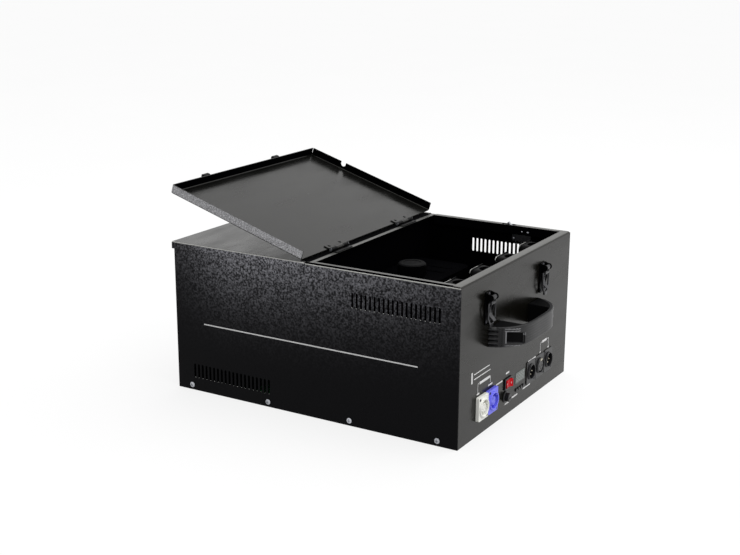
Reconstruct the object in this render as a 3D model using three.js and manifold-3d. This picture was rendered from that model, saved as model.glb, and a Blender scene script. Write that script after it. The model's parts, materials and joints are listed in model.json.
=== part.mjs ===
import * as THREE from 'three';
import { mergeVertices } from 'three/addons/utils/BufferGeometryUtils.js';
import Module from 'manifold-3d';

// A stage flame machine in millimetres. The origin is the centre of the case's underside,
// +X points to the connector side, +Y to the rear and +Z up. The lid rests fully open.

const wasm = await Module();
wasm.setup();

// The case as a whole
const width = 417;
const depth = 324;
const height = 200;
const sheet = 1.2;
const panSheet = 1.5;
const gap = 0.3;
const overrun = 1;
const roundSides = 18;
const smallSides = 8;
const wireSides = 6;
const mergeDistance = 1e-4;

// Case panels
const panFlange = 14;
const coverLapSide = 3.5;
const coverLapFront = 1.5;
const coverFlange = 9.5;
const leftFlange = 10;
const rightFlange = 11.5;
const partitionX = -4.5;
const partitionFlange = 10;
const partitionFoot = 12;
const bayFloorTop = 60;
const bayFloorFlange = 10;
const rimFrontSetback = 4;
const rimFrontWidth = 6.5;
const rimRearWidth = 8.3;
const rimDrop = 12;

// Vents: rows of upright slots with round ends
const ventSlots = 20;
const ventPitch = 6.25;
const ventSlotWidth = 3;
const ventSlotHeight = 19;
const bayVentMargin = 26.75;
const bayVentBelowTop = 38;
const rearVentShift = 1.4;
const caseVentMargin = 28;
const caseVentZ = 27.5;
const slotCurve = 2;
const shoulderCurve = 4;

// Screw holes along the lower edge of the front and rear panels
const screwCount = 4;
const screwMarginLeft = 23;
const screwMarginRight = 26.8;
const screwZ = 7;
const screwHoleRadius = 2;

// Lid and hinges
const lidOpenDegrees = 163;
const hingeSetback = 0.4;
const hingeSpread = 84;
const hingeLength = 38;
const knuckleRadius = 2.6;
const knuckleShare = 0.29;
const pinRadius = 1.2;
const pinHeadRadius = 2;
const pinHeadLength = 1;
const leafSheet = 1;
const fixedLeafReach = 9;
const lidLeafReach = 12;
const lidStart = 4.5;
const lidEndGap = 0.5;
const lidDrop = 12;
const lidSideGap = 0.8;
const lidLeafGap = 0.4;
const lidNotchFromEnd = 61;
const lidNotchWidth = 8.4;
const lidNotchDepth = 6.7;

// Latches on the connector side, and their keepers on the lid
const latchPlaces = [-90, 70];
const latchPlateWidth = 18;
const latchPlateSheet = 1.5;
const latchPlateAbove = 6;
const latchPlateBelow = 34;
const fulcrumOut = 7;
const fulcrumBelowTop = 28;
const earRadius = 4;
const earSheet = 1.2;
const leverWidth = 11;
const leverBoss = 3;
const leverSheet = 1.6;
const leverStraight = 22;
const leverTipDrop = 29.5;
const leverTipWidth = 6;
const leverTipOut = 6.8;
const leverPlay = 0.4;
const bailOut = 5.5;
const bailDrop = 7;
const bailBoss = 2.6;
const bailWire = 1.2;
const bailStraight = 18;
const bailTipReach = 26.5;
const bailReach = 30;
const bailTipHalf = 3.2;
const keeperWidth = 15;
const keeperSheet = 1.2;
const keeperBottom = 10.3;
const keeperTop = 0.3;
const keeperTrough = 3.2;
const keeperLip = 4.1;

// Carrying handles: a flat strap that arches out of each end
const handleMiddle = -11;
const handleHalfSpan = 76;
const handleBulge = 37.2;
const handleFullness = 3.6;
const handleArchPower = 0.8;
const handleThickness = 5;
const handleHeight = 25;
const handleBelowTop = 68;
const handleSteps = 24;
const handleEndShare = 0.56;

// Connector panel on the right-hand end
const panelLine = 36;
const flangeWidth = 26;
const flangeHeight = 31;
const flangeHoleRadius = 1.7;
const flangeHoleY = 9.5;
const flangeHoleZ = 12;
const powerFlange = 5;
const powerCollarRadius = 12;
const powerCollarOut = 7;
const powerBodyRadius = 11.4;
const powerBodyDepth = 26;
const powerRecessRadius = 9.6;
const powerHubRadius = 5.4;
const powerRecessDepth = 14;
const powerOutletY = -103;
const powerSpacing = 1;
const dataFlange = 2;
const dataCollarRadius = 10.4;
const dataCollarOut = 3.5;
const dataBodyRadius = 10;
const dataBodyDepth = 22;
const dataRecessRadius = 9.2;
const dataRecessDepth = 12;
const dataPinCircle = 3.8;
const dataPinRadius = 1.2;
const dataPinLength = 10;
const dataHubRadius = 7.6;
const dataPinCount = 3;
const dataCount = 3;
const dataFirstY = 45;
const dataSpacing = 2;

// Mains switch, fuse, display and buttons
const switchY = -25;
const switchZ = 42;
const switchBezelY = 21;
const switchBezelZ = 15;
const switchBezelOut = 2;
const switchWall = 2.1;
const switchBodyDepth = 16;
const rockerTiltDegrees = 8;
const rockerPivotIn = 2;
const rockerCrown = 2.2;
const rockerHub = 3;
const rockerSideGap = 1.2;
const fuseAside = 6;
const fuseBelowSwitch = 16.5;
const fuseRimRadius = 7.6;
const fuseRimOut = 2;
const fuseBodyRadius = 6;
const fuseBodyDepth = 30;
const fuseCapRadius = 5.6;
const fuseCapOut = 7;
const fuseShankRadius = 3.6;
const fuseShankLength = 16;
const displayY = 12;
const displayZ = 40;
const displayWidth = 28;
const displayHeight = 14;
const displayOut = 0.8;
const displayBodyDepth = 8;
const displayMargin = 3;
const buttonCount = 4;
const buttonPitch = 7;
const buttonZ = 24;
const buttonRadius = 2.2;
const buttonOut = 1.6;
const buttonStemRadius = 1.3;
const buttonStemLength = 4;
const buttonTravel = 1;

// Fuel tank, pump and pipe
const tankLength = 204;
const tankWidth = 88;
const tankSideGap = 6.3;
const tankBelowTop = 50;
const tankCorner = 12;
const tankWall = 2;
const tankCurve = 4;
const neckOffset = 8;
const neckRadius = 15.2;
const neckBore = 12.5;
const neckRise = 15;
const capRadius = 19;
const capHeight = 16;
const capLift = 6;
const capRoof = 4;
const spoutOffset = 7;
const spoutRadius = 5;
const spoutBore = 3;
const spoutDrop = 10;
const pumpRadius = 16;
const pumpLength = 66;
const pumpOffset = 20;
const pumpZ = 22;
const pumpFootWidth = 8;
const pumpFootSpread = 20;
const nippleRadius = 3.4;
const nippleLength = 8;
const pipeRadius = 3;
const pipeBendRadius = 12;
const pipeSides = 10;
const pipeBendSteps = 5;

// Valve block and burner heads
const headCount = 4;
const headMargin = 54;
const headLength = 36;
const headDepth = 39;
const headRise = 26;
const headBelowTop = 5;
const headShoulder = 9;
const headFloor = 8;
const headBore = 11;
const headBoreIn = 26.5;
const blockWidth = 24;
const blockRise = 14;
const blockHeight = 18;
const blockOver = 16;
const blockFootLength = 14;
const coilRadius = 10;
const coilLength = 22;
const nozzleRadius = 3.4;
const nozzleTipRadius = 5;
const nozzleTipLength = 9;
const nozzleTipSides = 6;
const nozzleBelowHead = 27;
const nozzleBore = 1.2;
const nozzleBoreDepth = 20;

// Lid switch behind the rear rim
const lidSwitchMargin = 68;
const lidSwitchLength = 27.8;
const lidSwitchBelowTop = 6;
const lidSwitchDepth = 15.9;
const lidSwitchArm = 10;
const lidSwitchSheet = 0.8;
const lidSwitchRoller = 1.5;
const lidSwitchTail = [14.4, 6.5];
const lidSwitchWindow = [18, 2.5];
const lidSwitchEye = 1.9;
const lidSwitchPin = 0.8;
const lidSwitchEar = 0.9;
const lidSwitchRise = 2.5;
const lidSwitchDegrees = 32;

// Electronics in the closed half of the case
const supplyLength = 98;
const supplyDepth = 159;
const supplyHeight = 38;
const supplyGap = 10;
const boardLength = 80;
const boardDepth = 120;
const boardGap = 10.5;
const boardFrontGap = 17;
const boardSheet = 1.6;
const boardRise = 8;
const boardPostRadius = 3;
const boardPostInset = 6;
const igniterLength = 150;
const igniterDepth = 70;
const igniterHeight = 46;
const igniterSideGap = 25.5;
const igniterRearGap = 17;
const igniterTowerRadius = 7;
const igniterTowerHeight = 18;

// Faces and centres that several pieces share
const wallX = width / 2;
const wallY = depth / 2;
const insideX = wallX - sheet - gap;
const insideY = wallY - sheet - gap;
const clearY = insideY - panSheet - gap;
const coverEdge = partitionX - gap;
const hingeX = partitionX + hingeSetback;
const hingeZ = height + knuckleRadius + 2 * gap;
const lidReach = wallX - hingeX + lidEndGap + sheet;
const lidOuterY = wallY + lidSideGap + sheet;
const handleTop = height - handleBelowTop;
const powerInletY = powerOutletY + flangeWidth + powerSpacing;
const fuseY = switchY - fuseAside;
const fuseZ = switchZ - fuseBelowSwitch;
const tankX = partitionX + sheet + tankSideGap + tankWidth / 2;
const tankTop = height - tankBelowTop;
const neckX = tankX + neckOffset;
const spoutX = tankX - spoutOffset;
const pumpX = spoutX + pumpOffset;
const headPitch = (depth - 2 * headMargin) / (headCount - 1);
const headTop = height - headBelowTop;
const headBoreX = wallX - headBoreIn;
const blockBottom = bayFloorTop + blockRise;
const blockTop = blockBottom + blockHeight;
const headBottom = blockTop + headRise;
const pipeRiseX = headBoreX - blockWidth / 2 - coilLength;

// Colours and finishes
function finish(color, roughness, metalness) {
  return new THREE.MeshStandardMaterial({ color, roughness, metalness });
}
const blackPaint = finish(0x1b1b1e, 0.6, 0.2);
const blackSteel = finish(0x141415, 0.4, 0.6);
const zinc = finish(0xb8bac0, 0.35, 0.9);
const brass = finish(0xb08d4a, 0.35, 0.9);
const aluminium = finish(0xa8aaad, 0.45, 0.9);
const blackPlastic = finish(0x101011, 0.5, 0);
const handleRubber = finish(0x19191a, 0.7, 0);
const whitePlastic = finish(0xe6e6dc, 0.45, 0);
const bluePlastic = finish(0x5a5ae0, 0.45, 0);
const redPlastic = finish(0xc41c26, 0.35, 0);
const smokedWindow = finish(0x6f7874, 0.15, 0);
const greenBoard = finish(0x1e5a32, 0.55, 0);
const greyResin = finish(0x3a3c40, 0.55, 0);

// Basis of each extrusion direction, so that an outline is drawn as (Y, Z), (X, Z) or (X, Y)
const unitX = new THREE.Vector3(1, 0, 0);
const unitY = new THREE.Vector3(0, 1, 0);
const unitZ = new THREE.Vector3(0, 0, 1);
const bases = {
  x: new THREE.Matrix4().makeBasis(unitY, unitZ, unitX),
  y: new THREE.Matrix4().makeBasis(unitX, unitZ, unitY.clone().negate()),
  z: new THREE.Matrix4(),
};

// A closed solid from any closed geometry
function solid(geometry) {
  const bare = geometry.clone();
  bare.deleteAttribute('normal');
  bare.deleteAttribute('uv');
  const merged = mergeVertices(bare, mergeDistance);
  return new wasm.Manifold(new wasm.Mesh({
    numProp: 3,
    vertProperties: Float32Array.from(merged.attributes.position.array),
    triVerts: Uint32Array.from(merged.index.array),
  }));
}

// A box between two values on each axis
function block([x0, x1], [y0, y1], [z0, z1]) {
  const box = new THREE.BoxGeometry(x1 - x0, y1 - y0, z1 - z0);
  box.translate((x0 + x1) / 2, (y0 + y1) / 2, (z0 + z1) / 2);
  return solid(box);
}

// A round bar along one axis; its centre is given on the other two
function rod(axis, radius, [from, to], [first, second], sides = roundSides) {
  const bar = new THREE.CylinderGeometry(radius, radius, to - from, sides);
  const middle = (from + to) / 2;
  if (axis === 'x') {
    bar.rotateZ(-Math.PI / 2);
    bar.translate(middle, first, second);
  } else if (axis === 'y') {
    bar.translate(first, middle, second);
  } else {
    bar.rotateX(Math.PI / 2);
    bar.translate(first, second, middle);
  }
  return solid(bar);
}

// An outline pushed along one axis
function prism(axis, outline, [from, to], curveSegments = slotCurve) {
  const corners = outline instanceof THREE.Shape ? null : outline.map(([u, v]) => new THREE.Vector2(u, v));
  const shape = corners ? new THREE.Shape(corners) : outline;
  const body = new THREE.ExtrudeGeometry(shape, { depth: to - from, bevelEnabled: false, curveSegments });
  body.translate(0, 0, axis === 'y' ? -to : from);
  body.applyMatrix4(bases[axis]);
  return solid(body);
}

// A round wire through a list of points
function wire(points, radius, sides = wireSides) {
  const pieces = [];
  points.slice(1).forEach((end, index) => {
    const start = points[index];
    const run = end.clone().sub(start);
    const bar = new THREE.CylinderGeometry(radius, radius, run.length(), sides);
    bar.applyQuaternion(new THREE.Quaternion().setFromUnitVectors(unitY, run.normalize()));
    const middle = start.clone().add(end).multiplyScalar(1 / 2);
    bar.translate(middle.x, middle.y, middle.z);
    pieces.push(solid(bar));
  });
  points.slice(1, -1).forEach((corner) => {
    const ball = new THREE.SphereGeometry(radius, sides, sides / 2);
    ball.translate(corner.x, corner.y, corner.z);
    pieces.push(solid(ball));
  });
  return join(...pieces);
}

// A closed skin over a row of rings that all have the same number of points
function loft(rings) {
  const count = rings[0].length;
  const positions = rings.flatMap((ring) => ring.flatMap((point) => [point.x, point.y, point.z]));
  const faces = [];
  for (let ring = 0; ring < rings.length - 1; ring += 1) {
    for (let side = 0; side < count; side += 1) {
      const next = (side + 1) % count;
      const here = ring * count;
      const there = here + count;
      faces.push(here + side, here + next, there + next, here + side, there + next, there + side);
    }
  }
  const last = (rings.length - 1) * count;
  for (let side = 1; side < count - 1; side += 1) {
    faces.push(0, side + 1, side, last, last + side, last + side + 1);
  }
  const skin = new THREE.BufferGeometry();
  skin.setAttribute('position', new THREE.Float32BufferAttribute(positions, 3));
  skin.setIndex(faces);
  return solid(skin);
}

function join(...pieces) {
  return wasm.Manifold.union(pieces);
}

function cut(body, ...tools) {
  return body.subtract(join(...tools));
}

// Adds one named piece to a group
function place(name, body, material, group) {
  const mesh = body.getMesh();
  const geometry = new THREE.BufferGeometry();
  geometry.setAttribute('position', new THREE.Float32BufferAttribute(mesh.vertProperties, 3));
  geometry.setIndex(new THREE.Uint32BufferAttribute(mesh.triVerts, 1));
  geometry.computeVertexNormals();
  const piece = new THREE.Mesh(geometry, material);
  piece.name = name;
  group.add(piece);
  return piece;
}

const machine = new THREE.Group();

// A row of upright vent slots through a panel that lies across Y
function ventRow(firstX, centreZ, through) {
  const radius = ventSlotWidth / 2;
  const halfStraight = ventSlotHeight / 2 - radius;
  return Array.from({ length: ventSlots }, (_, index) => {
    const x = firstX + index * ventPitch;
    const slot = new THREE.Shape();
    slot.absarc(x, centreZ + halfStraight, radius, 0, Math.PI, false);
    slot.absarc(x, centreZ - halfStraight, radius, Math.PI, 2 * Math.PI, false);
    return prism('y', slot, through);
  });
}

function screwHoles(through) {
  const pitch = (width - screwMarginLeft - screwMarginRight) / (screwCount - 1);
  return Array.from({ length: screwCount }, (_, index) => {
    const x = screwMarginLeft - wallX + index * pitch;
    return rod('y', screwHoleRadius, through, [x, screwZ], smallSides);
  });
}

function basePan() {
  const rim = [0, panFlange];
  const outer = block([-insideX, insideX], [-insideY, insideY], rim);
  const innerX = insideX - panSheet;
  const innerY = insideY - panSheet;
  const inner = block([-innerX, innerX], [-innerY, innerY], [panSheet, panFlange + overrun]);
  const holes = screwHoles([-insideY - overrun, insideY + overrun]);
  place('base_pan', cut(outer, inner, ...holes), blackPaint, machine);
}

// Front and rear panels. Their left half stops below the fixed cover.
function longPanel(name, side) {
  const faces = [side * wallY, side * (wallY - sheet)].sort((a, b) => a - b);
  const through = [faces[0] - overrun, faces[1] + overrun];
  const panel = block([-wallX, wallX], faces, [0, height]);
  const underCover = [height - sheet - gap, height + overrun];
  const ventShift = side > 0 ? rearVentShift : 0;
  const bayVentStart = wallX - bayVentMargin - (ventSlots - 1) * ventPitch + ventShift;
  const tools = [
    block([-wallX - overrun, coverEdge + gap], through, underCover),
    ...ventRow(bayVentStart, height - bayVentBelowTop, through),
    ...screwHoles(through),
  ];
  if (side < 0) tools.push(...ventRow(caseVentMargin - wallX, caseVentZ, through));
  place(name, cut(panel, ...tools), blackPaint, machine);
}

function leftSidePanel() {
  const top = height - sheet - gap;
  const web = block([-wallX, -wallX + sheet], [-insideY, insideY], [0, top]);
  const flange = block([-wallX, -wallX + leftFlange], [-insideY, insideY], [top - sheet, top]);
  place('left_side_panel', join(web, flange), blackPaint, machine);
}

// Centres of the three data sockets, front to rear
const dataPlaces = Array.from({ length: dataCount }, (_, index) => (
  dataFirstY + index * (flangeWidth + dataSpacing)
));
const buttonPlaces = Array.from({ length: buttonCount }, (_, index) => (
  displayY + (index - (buttonCount - 1) / 2) * buttonPitch
));

function rightSidePanel() {
  const through = [wallX - sheet - overrun, wallX + overrun];
  const web = block([wallX - sheet, wallX], [-insideY, insideY], [0, height]);
  const flange = block([wallX - rightFlange, wallX], [-insideY, insideY], [height - sheet, height]);
  const switchHalfY = switchBezelY / 2 - overrun + gap;
  const switchHalfZ = switchBezelZ / 2 - overrun + gap;
  const tools = [
    ...[powerOutletY, powerInletY].map((y) => rod('x', powerBodyRadius + gap, through, [y, panelLine])),
    ...dataPlaces.map((y) => rod('x', dataBodyRadius + gap, through, [y, panelLine])),
    ...buttonPlaces.map((y) => rod('x', buttonRadius + gap, through, [y, buttonZ], smallSides)),
    rod('x', fuseBodyRadius + gap, through, [fuseY, fuseZ]),
    block(
      through,
      [switchY - switchHalfY, switchY + switchHalfY],
      [switchZ - switchHalfZ, switchZ + switchHalfZ],
    ),
    block(
      through,
      [displayY - displayWidth / 2 - gap, displayY + displayWidth / 2 + gap],
      [displayZ - displayHeight / 2 - gap, displayZ + displayHeight / 2 + gap],
    ),
  ];
  place('right_side_panel', cut(join(web, flange), ...tools), blackPaint, machine);
}

function leftTopCover() {
  const outX = wallX + coverLapSide;
  const outY = wallY + coverLapFront;
  const outer = block([-outX, coverEdge], [-outY, outY], [height - coverFlange, height]);
  const inner = block(
    [-outX + sheet, coverEdge + overrun],
    [-outY + sheet, outY - sheet],
    [height - coverFlange - overrun, height - sheet],
  );
  place('left_top_cover', cut(outer, inner), blackPaint, machine);
}

function bayPartition() {
  const foot = panSheet + gap;
  const wall = [partitionX, partitionX + sheet];
  const web = block(wall, [-clearY, clearY], [foot, height]);
  const top = block([partitionX, partitionX + partitionFlange], [-clearY, clearY], [height - sheet, height]);
  const base = block([partitionX - partitionFoot, wall[1]], [-clearY, clearY], [foot, foot + sheet]);
  place('bay_partition', join(web, top, base), blackPaint, machine);
}

function bayFloor() {
  const left = partitionX + sheet + gap;
  const outer = block([left, insideX], [-clearY, clearY], [bayFloorTop - bayFloorFlange, bayFloorTop]);
  const inner = block(
    [left + sheet, insideX - sheet],
    [-clearY + sheet, clearY - sheet],
    [bayFloorTop - bayFloorFlange - overrun, bayFloorTop - sheet],
  );
  const throughFloor = [bayFloorTop - sheet - overrun, bayFloorTop + overrun];
  const holes = [
    rod('z', spoutRadius + gap, throughFloor, [spoutX, 0]),
    rod('z', pipeRadius + gap, throughFloor, [pipeRiseX, 0]),
  ];
  place('bay_floor', cut(outer, inner, ...holes), blackPaint, machine);
}

// Narrow angle strips that edge the open bay at the front and the rear
function bayRims() {
  const run = [partitionX + partitionFlange + gap, wallX - rightFlange - gap];
  const rimTop = [height - sheet, height];
  const frontY = [-wallY + rimFrontSetback, -wallY + rimFrontSetback + rimFrontWidth];
  const front = join(
    block(run, frontY, rimTop),
    block(run, [frontY[1] - sheet, frontY[1]], [height - rimDrop, height]),
  );
  place('bay_rim_front', front, blackPaint, machine);
  const rearY = [insideY - rimRearWidth, insideY];
  const rear = join(
    block(run, rearY, rimTop),
    block(run, [rearY[0], rearY[0] + sheet], [height - rimDrop, height]),
  );
  const pivotX = wallX - lidSwitchMargin - lidSwitchLength / 2 + lidSwitchEye;
  const window = block(
    [pivotX - lidSwitchWindow[0], pivotX + lidSwitchWindow[1]],
    [rearY[0] + sheet, rearY[1] - sheet],
    [height - sheet - overrun, height + overrun],
  );
  place('bay_rim_rear', cut(rear, window), blackPaint, machine);
}

// The lid and what is fixed to it are drawn shut, measured from the hinge axis, and turned open
const lidGroup = new THREE.Group();
lidGroup.position.set(hingeX, 0, hingeZ);
lidGroup.rotation.y = -THREE.MathUtils.degToRad(lidOpenDegrees);
machine.add(lidGroup);
const lidUnderside = leafSheet / 2 + lidLeafGap;
const lidTop = lidUnderside + sheet;
const lidEdge = lidTop - lidDrop;

function lid() {
  const outer = block([lidStart, lidReach], [-lidOuterY, lidOuterY], [lidEdge, lidTop]);
  const inner = block(
    [lidStart - overrun, lidReach - sheet],
    [-lidOuterY + sheet, lidOuterY - sheet],
    [lidEdge - overrun, lidUnderside],
  );
  const notchStart = lidReach - lidNotchFromEnd;
  const notchRadius = lidNotchWidth / 2;
  const notchTop = lidEdge + lidNotchDepth - notchRadius;
  const rearLip = [lidOuterY - sheet - overrun, lidOuterY + overrun];
  const notch = join(
    block([notchStart, notchStart + lidNotchWidth], rearLip, [lidEdge - overrun, notchTop]),
    rod('y', notchRadius, rearLip, [notchStart + notchRadius, notchTop]),
  );
  place('lid', cut(outer, inner, notch), blackPaint, lidGroup);
}

// A butt hinge: two knuckles on the case leaf, one on the lid leaf, and a pin with two heads
function hinge(label, centreY) {
  const start = centreY - hingeLength / 2;
  const end = centreY + hingeLength / 2;
  const outerKnuckle = hingeLength * knuckleShare;
  const firstEnd = start + outerKnuckle;
  const lastStart = end - outerKnuckle;
  const bore = pinRadius + gap;
  const boreRun = [start - overrun, end + overrun];
  const axis = [hingeX, hingeZ];
  const leafZ = [height + gap, height + gap + leafSheet];
  const leafRight = hingeX + fixedLeafReach;
  const caseLeaf = join(
    rod('y', knuckleRadius, [start, firstEnd], axis),
    rod('y', knuckleRadius, [lastStart, end], axis),
    block([hingeX, leafRight], [start, firstEnd], leafZ),
    block([hingeX, leafRight], [lastStart, end], leafZ),
    block([hingeX + knuckleRadius + gap, leafRight], [start, end], leafZ),
  );
  place(`hinge_case_leaf_${label}`, cut(caseLeaf, rod('y', bore, boreRun, axis)), blackSteel, machine);

  const middle = [firstEnd + gap, lastStart - gap];
  const lidAxis = [0, 0];
  const leafHalf = leafSheet / 2;
  const lidLeaf = join(
    rod('y', knuckleRadius, middle, lidAxis),
    block([0, lidLeafReach], middle, [-leafHalf, leafHalf]),
    block([knuckleRadius + gap, lidLeafReach], [start, end], [-leafHalf, leafHalf]),
  );
  place(`hinge_lid_leaf_${label}`, cut(lidLeaf, rod('y', bore, boreRun, lidAxis)), blackSteel, lidGroup);

  const pin = join(
    rod('y', pinRadius, [start - gap, end + gap], axis, smallSides),
    rod('y', pinHeadRadius, [start - gap - pinHeadLength, start - gap], axis, smallSides),
    rod('y', pinHeadRadius, [end + gap, end + gap + pinHeadLength], axis, smallSides),
  );
  place(`hinge_pin_${label}`, pin, zinc, machine);
}

// A draw latch: a base with two ears, a lever on the base and a wire bail on the lever
function latch(label, centreY) {
  const face = wallX + gap;
  const plateFace = face + latchPlateSheet;
  const fulcrumZ = height - fulcrumBelowTop;
  const bailZ = fulcrumZ - bailDrop;
  const fulcrum = [wallX + fulcrumOut, fulcrumZ];
  const bailEye = [wallX + bailOut, bailZ];
  const around = (half) => [centreY - half, centreY + half];
  const leverHalf = leverWidth / 2;
  const earInner = leverHalf + leverPlay;
  const earOuter = earInner + earSheet;
  const ear = (from, to) => join(
    rod('y', earRadius, [from, to], fulcrum),
    block([plateFace - overrun, fulcrum[0]], [from, to], [fulcrumZ - earRadius, fulcrumZ + earRadius]),
  );
  const base = join(
    block([face, plateFace], around(latchPlateWidth / 2), [fulcrumZ - latchPlateBelow, fulcrumZ + latchPlateAbove]),
    ear(centreY - earOuter, centreY - earInner),
    ear(centreY + earInner, centreY + earOuter),
    rod('y', pinRadius, around(earOuter), fulcrum, smallSides),
  );
  place(`latch_base_${label}`, base, blackSteel, machine);

  const leverX = plateFace + 2 * gap;
  const bossLink = [
    [fulcrum[0] - leverBoss, fulcrumZ],
    [bailEye[0] - bailBoss, bailZ],
    [bailEye[0] + bailBoss, bailZ],
    [fulcrum[0] + leverBoss, fulcrumZ],
  ];
  const tipX = wallX + leverTipOut;
  const leverBend = fulcrumZ - leverStraight;
  const leverTip = fulcrumZ - leverTipDrop;
  const tip = [
    [leverX, leverBend + overrun],
    [leverX, leverBend - leverSheet],
    [tipX - leverSheet, leverTip],
    [tipX, leverTip],
    [tipX, leverTip + leverSheet],
    [leverX + leverSheet, leverBend],
    [leverX + leverSheet, leverBend + overrun],
  ];
  const lever = join(
    rod('y', leverBoss, around(leverHalf), fulcrum),
    rod('y', bailBoss, around(leverHalf), bailEye),
    prism('y', bossLink, around(leverHalf)),
    block([leverX, leverX + leverSheet], around(leverHalf), [leverBend, bailZ + bailBoss]),
    prism('y', tip, around(leverTipWidth / 2)),
  );
  const leverBores = [fulcrum, bailEye].map((eye) => (
    rod('y', pinRadius + gap, around(leverHalf + overrun), eye)
  ));
  place(`latch_lever_${label}`, cut(lever, ...leverBores), blackSteel, machine);

  const legY = latchPlateWidth / 2;
  const at = (y, drop) => new THREE.Vector3(bailEye[0], centreY + y, bailZ - drop);
  const route = [
    at(0, 0), at(-legY, 0), at(-legY, bailStraight), at(-bailTipHalf, bailTipReach),
    at(bailTipHalf, bailTipReach), at(legY, bailStraight), at(legY, 0), at(0, 0),
  ];
  const tab = block(
    [bailEye[0] - bailWire, bailEye[0] + bailWire],
    around(bailTipHalf + bailWire / 2),
    [bailZ - bailReach, bailZ - bailTipReach + bailWire],
  );
  place(`latch_bail_${label}`, join(wire(route, bailWire), tab), blackSteel, machine);

  const plateX = lidReach + gap;
  const keeperFace = plateX + keeperSheet;
  const lipX = keeperFace + keeperTrough;
  const bottom = -keeperBottom;
  const keeper = join(
    block([plateX, keeperFace], around(keeperWidth / 2), [bottom, keeperTop]),
    block([plateX, lipX + keeperSheet], around(keeperWidth / 2), [bottom, bottom + keeperSheet]),
    block([lipX, lipX + keeperSheet], around(keeperWidth / 2), [bottom, bottom + keeperLip]),
  );
  place(`lid_keeper_${label}`, keeper, blackSteel, lidGroup);
}

// The strap's distance from the end panel at a share of its half span
function archOut(share) {
  return handleBulge * Math.max(0, 1 - Math.abs(share) ** handleFullness) ** handleArchPower;
}

// The strap is a run of rectangles across the arch, with a solid block in the corner at each end
function handle(name, turn) {
  const innerHalfSpan = handleHalfSpan - handleThickness;
  const handleZ = [handleTop - handleHeight, handleTop];
  const sections = Array.from({ length: handleSteps + 1 }, (_, index) => {
    const share = Math.sin(Math.PI * (index / handleSteps - 1 / 2));
    const outX = wallX + gap + archOut(share);
    const inX = wallX + gap + archOut(share) * ((handleBulge - handleThickness) / handleBulge);
    const outer = [outX, handleMiddle + share * handleHalfSpan];
    const inner = [inX, handleMiddle + share * innerHalfSpan];
    return { share, outer, inner };
  });
  const rings = sections.map(({ outer, inner }) => [
    new THREE.Vector3(...outer, handleZ[0]),
    new THREE.Vector3(...inner, handleZ[0]),
    new THREE.Vector3(...inner, handleZ[1]),
    new THREE.Vector3(...outer, handleZ[1]),
  ]);
  const ends = [-1, 1].map((side) => {
    const covered = sections.filter(({ share }) => share * side >= handleEndShare);
    const curve = covered.map(({ outer, inner }) => [(outer[0] + inner[0]) / 2, (outer[1] + inner[1]) / 2]);
    const innerSide = side < 0 ? curve[curve.length - 1] : curve[0];
    const corner = [wallX + gap, innerSide[1]];
    const plan = side < 0 ? [...curve, corner] : [corner, ...curve];
    return prism('z', plan, handleZ);
  });
  const strap = place(name, join(loft(rings), ...ends), handleRubber, machine);
  strap.rotation.z = turn;
}

// Holes for the two flange screws at opposite corners of a D-size flange
function flangeHoles(centreY, [from, to]) {
  return [-1, 1].map((side) => (
    rod('x', flangeHoleRadius, [from, to], [centreY + side * flangeHoleY, panelLine - side * flangeHoleZ], smallSides)
  ));
}

function flange(centreY, thickness) {
  return block(
    [wallX + gap, wallX + thickness],
    [centreY - flangeWidth / 2, centreY + flangeWidth / 2],
    [panelLine - flangeHeight / 2, panelLine + flangeHeight / 2],
  );
}

function powerSocket(name, centreY, material) {
  const centre = [centreY, panelLine];
  const mouth = wallX + powerCollarOut;
  const recess = [mouth - powerRecessDepth, mouth + overrun];
  const ring = cut(rod('x', powerRecessRadius, recess, centre), rod('x', powerHubRadius, recess, centre));
  const body = join(
    flange(centreY, powerFlange),
    rod('x', powerCollarRadius, [wallX + gap, mouth], centre),
    rod('x', powerBodyRadius, [wallX - powerBodyDepth, wallX + powerFlange], centre),
  );
  const holes = flangeHoles(centreY, [wallX - overrun, wallX + powerFlange + overrun]);
  const outsideCollar = holes.map((hole) => cut(hole, rod('x', powerCollarRadius, recess, centre)));
  place(name, cut(body, ring, ...outsideCollar), material, machine);
}

// A data socket with pins in a recess, or with holes in a face behind a narrow ring
function dataSocket(name, centreY, hasPins) {
  const centre = [centreY, panelLine];
  const mouth = wallX + dataCollarOut;
  const recess = [mouth - dataRecessDepth, mouth + overrun];
  const pinCentres = Array.from({ length: dataPinCount }, (_, index) => {
    const angle = Math.PI * (index / (dataPinCount - 1));
    return [centreY + dataPinCircle * Math.cos(angle), panelLine - dataPinCircle * Math.sin(angle)];
  });
  const body = join(
    flange(centreY, dataFlange),
    rod('x', dataCollarRadius, [wallX + gap, mouth], centre),
    rod('x', dataBodyRadius, [wallX - dataBodyDepth, wallX + dataFlange], centre),
  );
  const holes = flangeHoles(centreY, [wallX - overrun, wallX + dataFlange + overrun]);
  const pinRun = [recess[0] - overrun, recess[0] + dataPinLength];
  const pins = pinCentres.map((pin) => rod('x', dataPinRadius, pinRun, pin, smallSides));
  if (hasPins) {
    const open = cut(body, rod('x', dataRecessRadius, recess, centre), ...holes);
    place(name, join(open, ...pins), blackPlastic, machine);
    return;
  }
  const ring = cut(rod('x', dataRecessRadius, recess, centre), rod('x', dataHubRadius, recess, centre));
  const sockets = pinCentres.map((pin) => rod('x', dataPinRadius, recess, pin, smallSides));
  place(name, cut(body, ring, ...sockets, ...holes), blackPlastic, machine);
}

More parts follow.
